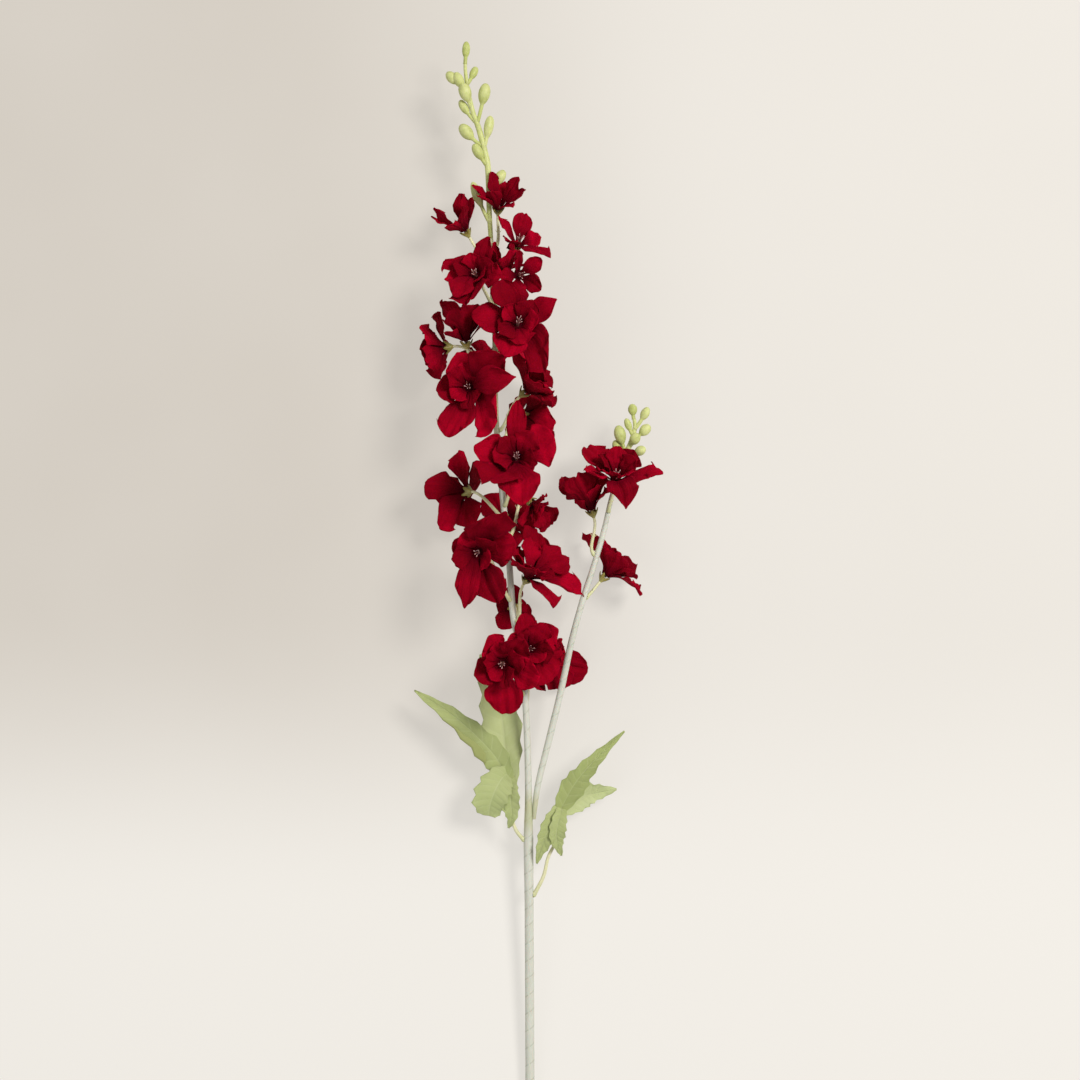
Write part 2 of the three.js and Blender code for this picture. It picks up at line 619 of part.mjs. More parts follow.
/** A point of a petal's middle surface in its bloom's own axes: u from foot to tip, v across. */
function petalPoint(petal, u, v) {
  const place = u - petal.capDepth * Math.abs(v) ** petal.capPower * u ** 5;
  const [foot, tip] = petal.rise;
  const slope = foot + (tip - foot) * place;
  const run = (petal.length * (Math.sin(slope) - Math.sin(foot))) / (tip - foot);
  const climb = (petal.length * (Math.cos(foot) - Math.cos(slope))) / (tip - foot);

  const grown = smooth(u, 0, 0.35);
  const sector = Math.PI / petal.lobes;
  const room = Math.tan(sector) * (HUB + run) * (0.9 + 0.4 * smooth(u, 0.35, 0.8));
  const half = Math.min(petal.half * petalOutline(petal, place), room);
  const side = mix(HUB * Math.sin(v * sector), half * v, grown);
  const inward = HUB * (1 - Math.cos(v * sector)) * (1 - grown);

  const phase = v < 0 ? petal.wave[0] : petal.wave[1];
  const wave = petal.waveHeight * u * u * Math.sin(2 * Math.PI * (1.1 * u + phase)) * v * v;
  const raised = side * Math.sin(petal.twist * grown) + (petal.cup * half * v * v + wave) * grown;
  const radius = HUB - inward + run - raised * Math.sin(slope);
  const sideways = side * Math.cos(petal.twist * grown) + petal.length * Math.sin(petal.sway) * u * u;
  const height = petal.base + climb + raised * Math.cos(slope);
  return new THREE.Vector3(
    radius * Math.cos(petal.angle) - sideways * Math.sin(petal.angle),
    radius * Math.sin(petal.angle) + sideways * Math.cos(petal.angle),
    height,
  );
}

/** The bloom's own axes, as a matrix that puts a bloom point in its place on the spray. */
function bloomPlace(bloom) {
  const axis = vector(bloom.faces).normalize();
  const [first, second] = crossAxes(axis);
  return new THREE.Matrix4().makeBasis(first, second, axis).setPosition(...bloom.at);
}

/** The grid of a petal's middle surface on the spray, pressed flat where it meets the surface below. */
function petalGrid(petal, rows, place) {
  return rows.map((u) => [-1, 0, 1].map((v) => {
    const point = petalPoint(petal, u, v).applyMatrix4(place);
    if (point.z < PRESSED) point.z = CLOTH / 2;
    return point;
  }));
}

/** The normal at a grid point, which is plumb where the petal is pressed flat. */
function petalNormal(grid, row, column) {
  const normal = gridNormal(grid, row, column);
  const pressed = grid[row][column].z <= CLOTH / 2;
  return pressed ? new THREE.Vector3(0, 0, Math.sign(normal.z) || 1) : normal;
}

// ---------- keeping petals clear of each other ----------

/** A solid with its edges and its box, for the crossing test. */
function obstacle({ points, faces }) {
  const edges = [];
  for (const [a, b, c] of faces) {
    if (a < b) edges.push([a, b]);
    if (b < c) edges.push([b, c]);
    if (c < a) edges.push([c, a]);
  }
  return { points, faces, edges, box: new THREE.Box3().setFromPoints(points) };
}

/** True where the straight line from p to q goes through the triangle a, b, c. */
function lineMeetsFace(p, q, a, b, c) {
  const [dx, dy, dz] = [q.x - p.x, q.y - p.y, q.z - p.z];
  const [ux, uy, uz] = [b.x - a.x, b.y - a.y, b.z - a.z];
  const [vx, vy, vz] = [c.x - a.x, c.y - a.y, c.z - a.z];
  const [hx, hy, hz] = [dy * vz - dz * vy, dz * vx - dx * vz, dx * vy - dy * vx];
  const size = ux * hx + uy * hy + uz * hz;
  if (Math.abs(size) < 1e-9) return false;
  const [sx, sy, sz] = [p.x - a.x, p.y - a.y, p.z - a.z];
  const u = (sx * hx + sy * hy + sz * hz) / size;
  if (u < 0 || u > 1) return false;
  const [kx, ky, kz] = [sy * uz - sz * uy, sz * ux - sx * uz, sx * uy - sy * ux];
  const v = (dx * kx + dy * ky + dz * kz) / size;
  if (v < 0 || u + v > 1) return false;
  const t = (vx * kx + vy * ky + vz * kz) / size;
  return t >= 0 && t <= 1;
}

/** True where an edge of one solid goes through a face of the other. */
function edgesMeetFaces(one, other) {
  const box = new THREE.Box3();
  for (const [i, j] of one.edges) {
    const p = one.points[i];
    const q = one.points[j];
    box.makeEmpty().expandByPoint(p).expandByPoint(q);
    if (!box.intersectsBox(other.box)) continue;
    for (const [a, b, c] of other.faces) {
      if (lineMeetsFace(p, q, other.points[a], other.points[b], other.points[c])) return true;
    }
  }
  return false;
}

function cross(one, other) {
  if (!one.box.intersectsBox(other.box)) return false;
  return edgesMeetFaces(one, other) || edgesMeetFaces(other, one);
}

/** The petal bent by one of the ways in LIFTS, SWAYS and SHORTENINGS. */
function bent(petal, lift, sway, shortening) {
  const [foot, tip] = petal.rise;
  return {
    ...petal,
    length: petal.length * shortening,
    half: petal.half * Math.sqrt(shortening),
    rise: [foot + radians(0.5 * lift), tip + radians(1.3 * lift)],
    sway: petal.sway + radians(sway),
  };
}

/** Every way to bend a petal, the least change first. */
function bendings() {
  const ways = [];
  for (const shortening of SHORTENINGS) {
    for (const lift of LIFTS) {
      for (const sway of SWAYS) ways.push([lift, sway, shortening]);
    }
  }
  const change = ([lift, sway, shortening]) => (
    Math.abs(lift) / 20 + Math.abs(sway) / 12 + 5 * (1 - shortening)
  );
  return ways.sort((one, other) => change(one) - change(other));
}

/** Bends the petals of a bloom, one after another, clear of all that is in the way. */
function bendClear(bloom, layers, ownStalk, others) {
  const place = bloomPlace(bloom);
  const ways = bendings();
  const own = [];
  for (const layer of layers) {
    for (let index = 0; index < layer.petals.length; index += 1) {
      const petal = layer.petals[index];
      const isClear = (way) => {
        const grid = petalGrid(bent(petal, ...way), layer.rows, place);
        const whole = obstacle(sheetSolid(grid, CLOTH + 2 * CLEARANCE));
        const blade = obstacle(sheetSolid(grid.slice(1), CLOTH));
        const free = !cross(whole, ownStalk) && !others.some((other) => cross(whole, other));
        return free && !own.some((other) => cross(blade, other));
      };
      layer.petals[index] = bent(petal, ...(ways.find(isClear) ?? ways[0]));
      const grid = petalGrid(layer.petals[index], layer.rows, place);
      own.push(obstacle(sheetSolid(grid.slice(1), CLOTH)));
    }
  }
}

// ---------- a bloom's two solids ----------

/** All petal layers of a bloom and the hub that holds them, as one closed solid. */
function petalSolid(bloom, layers) {
  const place = bloomPlace(bloom);
  const points = [];
  const faces = [];
  const add = (point) => points.push(point) - 1;
  const ringCount = 2 * layers[0].petals.length;

  const ring = (radius, height, turn) => {
    const indices = [];
    for (let step = 0; step < ringCount; step += 1) {
      const angle = turn + (2 * Math.PI * step) / ringCount;
      const point = new THREE.Vector3(radius * Math.cos(angle), radius * Math.sin(angle), height);
      indices.push(add(point.applyMatrix4(place)));
    }
    return indices;
  };
  const band = (inner, outer) => {
    for (let step = 0; step < ringCount; step += 1) {
      const next = (step + 1) % ringCount;
      faces.push([inner[step], outer[step], outer[next]], [inner[step], outer[next], inner[next]]);
    }
  };

  const hubs = layers.map(({ petals, rows, base }) => {
    const turn = petals[0].angle;
    const low = ring(HUB, base - CLOTH / 2, turn);
    const high = ring(HUB, base + CLOTH / 2, turn);
    petals.forEach((petal, lobe) => {
      const grid = petalGrid(petal, rows, place);
      const foot = [-1, 0, 1].map((step) => (2 * lobe + step + ringCount) % ringCount);
      const surface = (side, hub) => grid.map((line, row) => line.map((point, column) => {
        if (row === 0) return hub[foot[column]];
        return add(point.clone().addScaledVector(petalNormal(grid, row, column), (side * CLOTH) / 2));
      }));
      stitchSheet(faces, surface(-1, low), surface(1, high));
    });
    return { low, high, turn };
  });

  const lowest = hubs[0];
  const highest = hubs[hubs.length - 1];
  const footHole = ring(HOLE, layers[0].base - CLOTH / 2, lowest.turn);
  const headHole = ring(HOLE, layers[layers.length - 1].base + CLOTH / 2, highest.turn);
  const oneBack = (indices) => [indices[ringCount - 1], ...indices.slice(0, -1)];
  band(lowest.low, footHole);
  band(headHole, highest.high);
  band(footHole, layers.length > 1 ? oneBack(headHole) : headHole);
  if (layers.length > 1) band(oneBack(highest.low), lowest.high);
  return { points, faces };
}

/** Joins the low and high surface of a petal and walls its rim, all but at its foot. */
function stitchSheet(faces, low, high) {
  const wall = ([row, column], [toRow, toColumn]) => {
    const [a, b] = [low[row][column], low[toRow][toColumn]];
    const [c, d] = [high[toRow][toColumn], high[row][column]];
    faces.push([a, b, c], [a, c, d]);
  };
  const lastRow = low.length - 1;
  const lastColumn = low[0].length - 1;
  for (let row = 0; row < lastRow; row += 1) {
    for (let column = 0; column < lastColumn; column += 1) {
      for (const [surface, turned] of [[high, false], [low, true]]) {
        const a = surface[row][column];
        const b = surface[row + 1][column];
        const c = surface[row + 1][column + 1];
        const d = surface[row][column + 1];
        faces.push(turned ? [a, c, b] : [a, b, c], turned ? [a, d, c] : [a, c, d]);
      }
    }
    wall([row, 0], [row + 1, 0]);
    wall([row + 1, lastColumn], [row, lastColumn]);
  }
  for (let column = 0; column < lastColumn; column += 1) wall([lastRow, column], [lastRow, column + 1]);
}

/** The point of a stem's axis at a height y, with its radius and its direction there. */
function stemAt(stations, y) {
  const above = stations.findIndex((station) => station[1] >= y);
  const [low, high] = [stations[above - 1], stations[above]];
  const part = (y - low[1]) / (high[1] - low[1]);
  return {
    centre: vector(low).lerp(vector(high), part),
    radius: mix(low[3], high[3], part),
    along: vector(high).sub(vector(low)).normalize(),
  };
}

/** Where a stalk sits on its stem at a height y, on the side that looks towards a point. */
function seatOn(stations, y, towards) {
  const { centre, radius, along } = stemAt(stations, y);
  const way = towards.clone().sub(centre);
  const outward = way.addScaledVector(along, -way.dot(along)).normalize();
  return { centre: centre.addScaledVector(outward, radius + SEAT_GAP), outward };
}

/** A leaf's stalk, from its seat on the main stem to the foot of the blade. */
function leafStalkSolid(leaf) {
  const way = leaf.stalk.map(vector);
  const seat = seatOn(MAIN_STEM, leaf.root, way[0]);
  const curve = new THREE.CatmullRomCurve3([seat.centre, ...way], false, "centripetal");
  const steps = 2 * leaf.stalk.length;
  const rings = [];
  for (let step = 0; step <= steps; step += 1) {
    const place = step / steps;
    const along = step === 0 ? seat.outward : curve.getTangent(place);
    const radius = mix(LEAF_STALK.foot, LEAF_STALK.head, place);
    rings.push({ centre: curve.getPoint(place), along, radius });
  }
  return ringedSolid(rings, LEAF_STALK.sides, [rings[steps].centre]);
}

/** A bloom's stalk with its cup of pointed sepals, its peg and its tuft of filaments. */
function stalkSolid(bloom, number) {
  const axis = vector(bloom.faces).normalize();
  const throat = vector(bloom.at);
  const onAxis = (height) => throat.clone().addScaledVector(axis, height);
  const foot = onAxis(CALYX.foot);
  const { centre: start, outward } = seatOn(bloom.side ? SIDE_STEM : MAIN_STEM, bloom.root, foot);
  const reach = start.distanceTo(foot);
  const curve = new THREE.CubicBezierCurve3(
    start,
    start.clone().addScaledVector(outward, 0.2 * reach).addScaledVector(UP_THE_SPIKE, 0.18 * reach),
    foot.clone().addScaledVector(axis, -0.4 * reach),
    foot,
  );
  const rings = [0, 0.2, 0.45, 0.72, 1].map((place) => ({
    centre: curve.getPoint(place),
    along: place === 0 ? outward : curve.getTangent(place),
    radius: mix(STALK.root, STALK.neck, place),
  }));
  const cup = [
    [CALYX.belly, CALYX.bellyRadius],
    [CALYX.rim, CALYX.rimRadius],
    [CALYX.neck, STALK.peg],
    [STALK.pegTop, STALK.peg],
  ];
  for (const [height, radius] of cup) rings.push({ centre: onAxis(height), along: axis, radius });
  const [first, second] = crossAxes(axis);
  const filaments = [];
  for (let side = 0; side < STALK.sides; side += 1) {
    const angle = (2 * Math.PI * (side + 0.5)) / STALK.sides;
    const height = STALK.pegTop + FILAMENT.length * (1 + 0.15 * spread(number, side, 20));
    filaments.push(
      onAxis(height)
        .addScaledVector(first, FILAMENT.spread * Math.cos(angle))
        .addScaledVector(second, FILAMENT.spread * Math.sin(angle)),
    );
  }
  return ringedSolid(rings, STALK.sides, filaments);
}

// ---------- meshes ----------

function geometryOf({ points, faces }) {
  const geometry = new THREE.BufferGeometry();
  const places = points.flatMap((point) => point.toArray());
  geometry.setAttribute("position", new THREE.Float32BufferAttribute(places, 3));
  geometry.setIndex(faces.flat());
  return geometry;
}

function manifoldOf(solid) {
  const geometry = mergeVertices(geometryOf(solid), 1e-4);
  return new wasm.Manifold(new wasm.Mesh({
    numProp: 3,
    vertProperties: geometry.attributes.position.array,
    triVerts: new Uint32Array(geometry.index.array),
  }));
}

/** Several solids joined to one. */
function joined(solids) {
  const whole = solids.map(manifoldOf).reduce((one, other) => one.add(other));
  const { vertProperties, triVerts, numProp } = whole.getMesh();
  const points = [];
  for (let at = 0; at < vertProperties.length; at += numProp) {
    points.push(new THREE.Vector3().fromArray(vertProperties, at));
  }
  const faces = [];
  for (let at = 0; at < triVerts.length; at += 3) faces.push([...triVerts.subarray(at, at + 3)]);
  return { points, faces };
}

const paint = (color, roughness) => new THREE.MeshStandardMaterial({ color, roughness, metalness: 0 });
const COLOURS = {
  petal: () => paint(0x8c0014, 0.85),
  stalk: () => paint(0xcdd0a4, 0.5),
  tape: () => paint(0xb9c2ab, 0.75),
  bud: () => paint(0xbec86e, 0.5),
  leaf: () => paint(0xaabe7d, 0.8),
};

const spray = new THREE.Group();
spray.position.x = TO_MIDDLE;

function addPiece(name, solid, material) {
  const mesh = new THREE.Mesh(geometryOf(solid), material);
  mesh.name = name;
  spray.add(mesh);
}

const greens = [
  ["main_stem", stemSolid(MAIN_STEM, 9, 22), COLOURS.tape()],
  ["side_stem", stemSolid(SIDE_STEM, 8, 14), COLOURS.tape()],
  ["main_bud_sprig", joined([stemSolid(MAIN_SPRIG, 6, 8), ...MAIN_BUDS.map(budSolid)]), COLOURS.bud()],
  ["side_bud_sprig", joined([stemSolid(SIDE_SPRIG, 6, 5), ...SIDE_BUDS.map(budSolid)]), COLOURS.bud()],
];
for (const [side, leaf] of Object.entries(LEAVES)) {
  greens.push([`${side}_leaf_stalk`, leafStalkSolid(leaf), COLOURS.stalk()]);
  greens.push([`${side}_leaf_blade`, joined(leaf.lobes.map(lobeSolid)), COLOURS.leaf()]);
}
for (const [name, solid, material] of greens) addPiece(name, solid, material);

const stalks = BLOOMS.map(stalkSolid);
const inTheWay = [...greens.map(([, solid]) => solid), ...stalks].map(obstacle);
BLOOMS.forEach((bloom, index) => {
  const name = String(index + 1).padStart(2, "0");
  const layers = bloomLayers(bloom, index + 1);
  bendClear(bloom, layers, obstacle(stalks[index]), inTheWay);
  for (const layer of layers) {
    for (const petal of layer.petals) {
      const grid = petalGrid(petal, layer.rows, bloomPlace(bloom));
      inTheWay.push(obstacle(sheetSolid(grid, CLOTH)));
    }
  }
  addPiece(`bloom_${name}`, petalSolid(bloom, layers), COLOURS.petal());
  addPiece(`bloom_stalk_${name}`, stalks[index], COLOURS.stalk());
});

export default spray;
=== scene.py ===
"""A dark red delphinium spray of cloth and plastic, lying on a pale floor and seen from above.

Sizes are in millimetres in the part's own frame: +Y up the spike, +X to its right, +Z up.
The camera and the meshes turn them into metres.
"""
import math
from functools import partial
from itertools import product
from typing import NamedTuple

import bpy
import numpy as np
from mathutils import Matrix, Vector


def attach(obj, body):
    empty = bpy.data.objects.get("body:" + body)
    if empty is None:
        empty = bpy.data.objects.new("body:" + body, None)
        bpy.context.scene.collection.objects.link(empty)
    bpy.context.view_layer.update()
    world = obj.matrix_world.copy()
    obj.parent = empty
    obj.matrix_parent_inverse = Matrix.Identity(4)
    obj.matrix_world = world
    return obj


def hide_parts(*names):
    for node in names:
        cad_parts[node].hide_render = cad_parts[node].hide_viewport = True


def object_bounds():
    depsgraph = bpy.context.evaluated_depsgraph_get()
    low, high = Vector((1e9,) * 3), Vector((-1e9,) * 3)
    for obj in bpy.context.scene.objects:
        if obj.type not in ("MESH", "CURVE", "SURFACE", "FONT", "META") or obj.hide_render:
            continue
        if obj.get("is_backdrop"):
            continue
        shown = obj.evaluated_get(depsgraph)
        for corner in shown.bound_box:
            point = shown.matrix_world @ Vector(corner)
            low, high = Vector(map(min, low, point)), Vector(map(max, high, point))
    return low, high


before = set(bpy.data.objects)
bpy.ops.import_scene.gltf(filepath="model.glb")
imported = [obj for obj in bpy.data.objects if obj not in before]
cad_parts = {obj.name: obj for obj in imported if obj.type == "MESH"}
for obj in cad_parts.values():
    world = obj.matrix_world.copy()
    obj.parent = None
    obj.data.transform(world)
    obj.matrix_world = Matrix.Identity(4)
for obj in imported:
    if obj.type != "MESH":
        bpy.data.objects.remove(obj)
cad_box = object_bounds()

# ---------- driving sizes, as in the part ----------

MM = 0.001
AXIS_Y = np.array([0.0, 1.0, 0.0])
AXIS_Z = np.array([0.0, 0.0, 1.0])
TO_MIDDLE = 1.6  # sideways shift of the whole spray
CLOTH = 0.7  # thickness of the part's petals and leaves
SEAT_GAP = 0.35  # between a stem and what sits on it
HUB = 3.2  # radius of the disc that joins a layer's petals
HOLE = 2.1  # radius of the part's hole in that disc
LAYER_STEP = 1.7  # from one layer of petals to the next
PRESSED = 2.5  # the part's petals lie on the floor below this height
STALK = {"root": 1.3, "neck": 1.0}  # radii
PEG = {"radius": 1.5, "top": 2.6}
CALYX = {"foot": -6, "belly": -3.2, "belly_radius": 3.0}
LEAF_STALK = {"foot": 1.5, "head": 1.0}  # radii

# The scene's own sizes.
SEAT = {"stalk": 1.75, "leaf": 2.0}  # a stalk's radius where it sits on its stem
CUP = {"foot_radius": 1.02, "belly_place": 0.6, "thickness": 0.4}
THIN = 0.32  # thickness of the real cloth
PETAL_GRID = (23, 17)  # points along and across a petal
BLUNT = 0.07  # how round a petal's tip is
WIDER = {5: 1.05, 8: 1.32}  # the cloth's width against the solid's, by the number of petals in a layer
TAPE_TURN = 13  # length of stem that one turn of the tape covers
FORK = -153  # height y of the fork, where the tape is olive
FILAMENT = {"length": 5.5, "spread": 2.6, "count": 8, "radius": 0.19}
LONG_FILAMENTS = {1: 2, 3: 1.5, 5: 1.5}  # blooms whose filaments are longer, and how much
BUD_BELLY = 0.6  # where a bud is widest, from its foot to its tip
LEAF = {"notch": 0.22, "tooth_slant": 0.12, "fold": 0.22}  # parts of a lobe's half width
LOBE_STEPS = 6  # steps of every lobe's width tables
VEINS = 1.6  # side veins for each of those steps
LOBE_TONES = {"left": (0.25, 0.9, 0.5, 0.4), "right": (0.1, 1, 0.3, 0.35)}  # 0 olive, 1 pale sage
UNDERSIDE = -1  # the tone that marks a leaf's low side
FLAP_LOBE = ("left", 0)  # the lobe whose edge is folded over it
FLAP = 0.7  # width of that fold as a part of the lobe's half width

# Axes: x, y, z, radius.
MAIN_STEM = [
    (-7.4, -404, 3.2, 3.4), (-7.4, -352, 8, 3.35), (-8, -218, 19.5, 3.3), (-8.4, -176, 23.1, 3.5),
    (-8.4, -166, 24, 3.3), (-8.4, -136, 26.5, 2.5), (-10.1, -79, 31.4, 2.4), (-13.7, -34.5, 35.2, 2.4),
    (-18.8, -13, 37, 2.35), (-22.4, 31, 38.7, 2.3), (-28.8, 96, 40, 2.2), (-32.1, 139, 40.9, 2.1),
    (-32.4, 193, 42, 2), (-33.8, 218, 42.5, 1.9), (-35.4, 262, 43.4, 1.8),
]
SIDE_STEM = [
    (-4.3, -158, 25.6, 1.2), (-3.6, -148, 26.4, 1.9), (-1.5, -133, 27.4, 2.2), (6.5, -100, 30, 2.4),
    (15.2, -64, 32.7, 2.4), (23.1, -27, 35.2, 2.3), (31, 2, 37, 2.2), (39, 27, 38.2, 2.1),
    (46.2, 52, 39.1, 2), (51.2, 74, 39.6, 1.8), (56, 90, 40, 1.7),
]
MAIN_SPRIG = [
    (-35.4, 262.35, 43.4, 1.7), (-36.4, 279, 43.7, 1.9), (-37.7, 315, 44.4, 2.2), (-39.7, 324, 44.6, 2.3),
    (-43.8, 340, 44.9, 2.1), (-48.4, 353, 45.2, 1.8), (-51.6, 368, 45.5, 1.5), (-53.4, 380, 45.7, 1.3),
    (-53.8, 390, 45.9, 1.2),
]
SIDE_SPRIG = [
    (56.1, 90.35, 40, 1.6), (60.8, 104, 40.4, 2), (66, 117, 40.8, 1.8), (68.4, 127, 41, 1.5),
    (67.4, 134, 41.2, 1.2),
]

# Buds: root, tip, width, length of the bud itself.
MAIN_BUDS = [
    ((-53.8, 387, 45.8), (-52.8, 403, 46.2), 5.6, 12.5),
    ((-52, 368, 45.5), (-66.8, 380.5, 48.5), 7.4, 11), ((-51, 364, 45.4), (-61, 380, 50), 7.6, 12),
    ((-52.5, 372, 45.6), (-45.8, 385.5, 43), 5.6, 10), ((-49.5, 356, 45.2), (-55.6, 372, 51.5), 8.8, 14),
    ((-47, 346, 45.1), (-57.6, 361.5, 43), 6.2, 12), ((-45.2, 344, 45), (-38.6, 372.5, 48.5), 8.4, 14.5),
    ((-40.5, 325, 44.7), (-35.4, 349.5, 47), 6.8, 16), ((-41.5, 328, 44.7), (-57.2, 343, 47.5), 9, 13.5),
    ((-38.2, 314, 44.4), (-47.4, 329, 49), 7.2, 12.5), ((-37, 295, 44.1), (-26, 311.5, 40), 7.4, 12.5),
    ((-36.2, 273, 43.7), (-48.5, 302, 47), 7.2, 18),
]
SIDE_BUDS = [
    ((67.5, 132, 41.1), (66.3, 143, 41.5), 6.6, 10), ((68.4, 125, 41), (77.8, 140.5, 43.5), 6.4, 10),
    ((67, 120, 40.9), (61.8, 132.5, 43), 5.2, 9.5), ((62.2, 106, 40.5), (56, 127.5, 42.5), 8.4, 13.5),
    ((66.5, 117, 40.8), (79, 128, 40), 7.6, 10), ((64.4, 112, 40.7), (70, 121.5, 47.5), 7.6, 10),
    ((60.2, 101.5, 40.4), (53.8, 117, 38.5), 6.4, 11), ((61.8, 105.5, 40.5), (75.8, 111.5, 43.5), 7, 9.5),
]

# Leaves: height y of the stalk's seat on the main stem, its way to the blade, and the lobes, each with the
# way of its rib and the half widths on both sides of it.
LEAVES = {
    "left": (-173, [(-17.5, -166, 25.6), (-20.8, -155, 27.4), (-21.5, -136.5, 29.1)], [
        ([(-21.5, -132, 27), (-30, -116, 29), (-44, -99, 33), (-65.5, -80, 36), (-91, -64, 31)],
         (4, 9, 11.5, 10.5, 8.5, 5.5, 0.6), (4, 8, 11.5, 9.5, 7, 4, 0.6)),
        ([(-21.5, -136, 29), (-25, -112, 20), (-28.5, -84, 15), (-36, -57, 13), (-44, -39, 12)],
         (5, 12, 16.5, 16.5, 12, 7.5, 0.6), (5, 11, 14.5, 15, 11, 6, 0.6)),
        ([(-22, -124, 25.5), (-27, -127, 32), (-32, -135, 35), (-36, -146, 33.5), (-37.5, -155, 30)],
         (4, 9, 12, 13, 13, 11, 6), (4, 9, 13, 15, 15, 12, 5)),
        ([(-21.5, -126, 26), (-22, -134, 31.5), (-21, -145, 34), (-20.5, -155, 32.5), (-23, -164, 29)],
         (3, 6, 7, 7, 5.5, 3.5, 0.6), (3, 7, 9, 8, 6, 3, 0.6)),
    ]),
    "right": (-214, [(2.6, -200, 22.2), (6, -186, 23.6), (12, -173, 24.2), (14.9, -153.7, 25.2)], [
        ([(14.5, -152, 25.6), (23.3, -135, 29), (31, -124, 32), (44, -110, 35), (61, -93, 37)],
         (5, 9.5, 9.5, 7.5, 6, 3.5, 0.6), (4, 9, 10.5, 8, 5.5, 3, 0.6)),
        ([(16, -153, 25), (26, -147, 21), (34, -142, 19), (44, -139.5, 18), (56, -137, 18.5)],
         (4, 9, 12, 11, 8, 5, 0.6), (4, 7, 8.5, 7.5, 6, 4, 0.6)),
        ([(15.5, -148, 24.5), (10, -157, 30), (5, -167, 32.5), (1, -178, 31.5), (-2.5, -190, 28)],
         (4, 6, 7, 7.5, 6.5, 3.5, 0.6), (4, 6, 7, 6.5, 5, 3, 0.6)),
        ([(16, -149, 25), (14, -157, 31), (12, -166, 34), (12.5, -175, 33), (15.5, -184, 30)],
         (3, 5.5, 7, 7.5, 6, 3.5, 0.6), (3, 5, 6, 6, 5, 3, 0.6)),
    ]),
}


class Own(NamedTuple):
    """How one petal differs from its layer's others. Lift and sway are in degrees."""

    longer: float = 1
    wider: float | None = None  # the root of longer, if not given
    drawn: float | None = None  # how pointed the tip is, from 0 to 1
    lift: float = 0
    sway: float = 0


class Bloom(NamedTuple):
    """A bloom: its throat, the way it faces, its petals' length, its turn in degrees, its stalk's root.

    own is keyed by the petals' numbers, from 0 in the outer layer and from 10 in the inner.
    """

    at: tuple
    faces: tuple
    length: float
    turn: float
    root: float
    own: dict = {}
    form: str = "full"
    side: bool = False  # whether it grows on the side stem


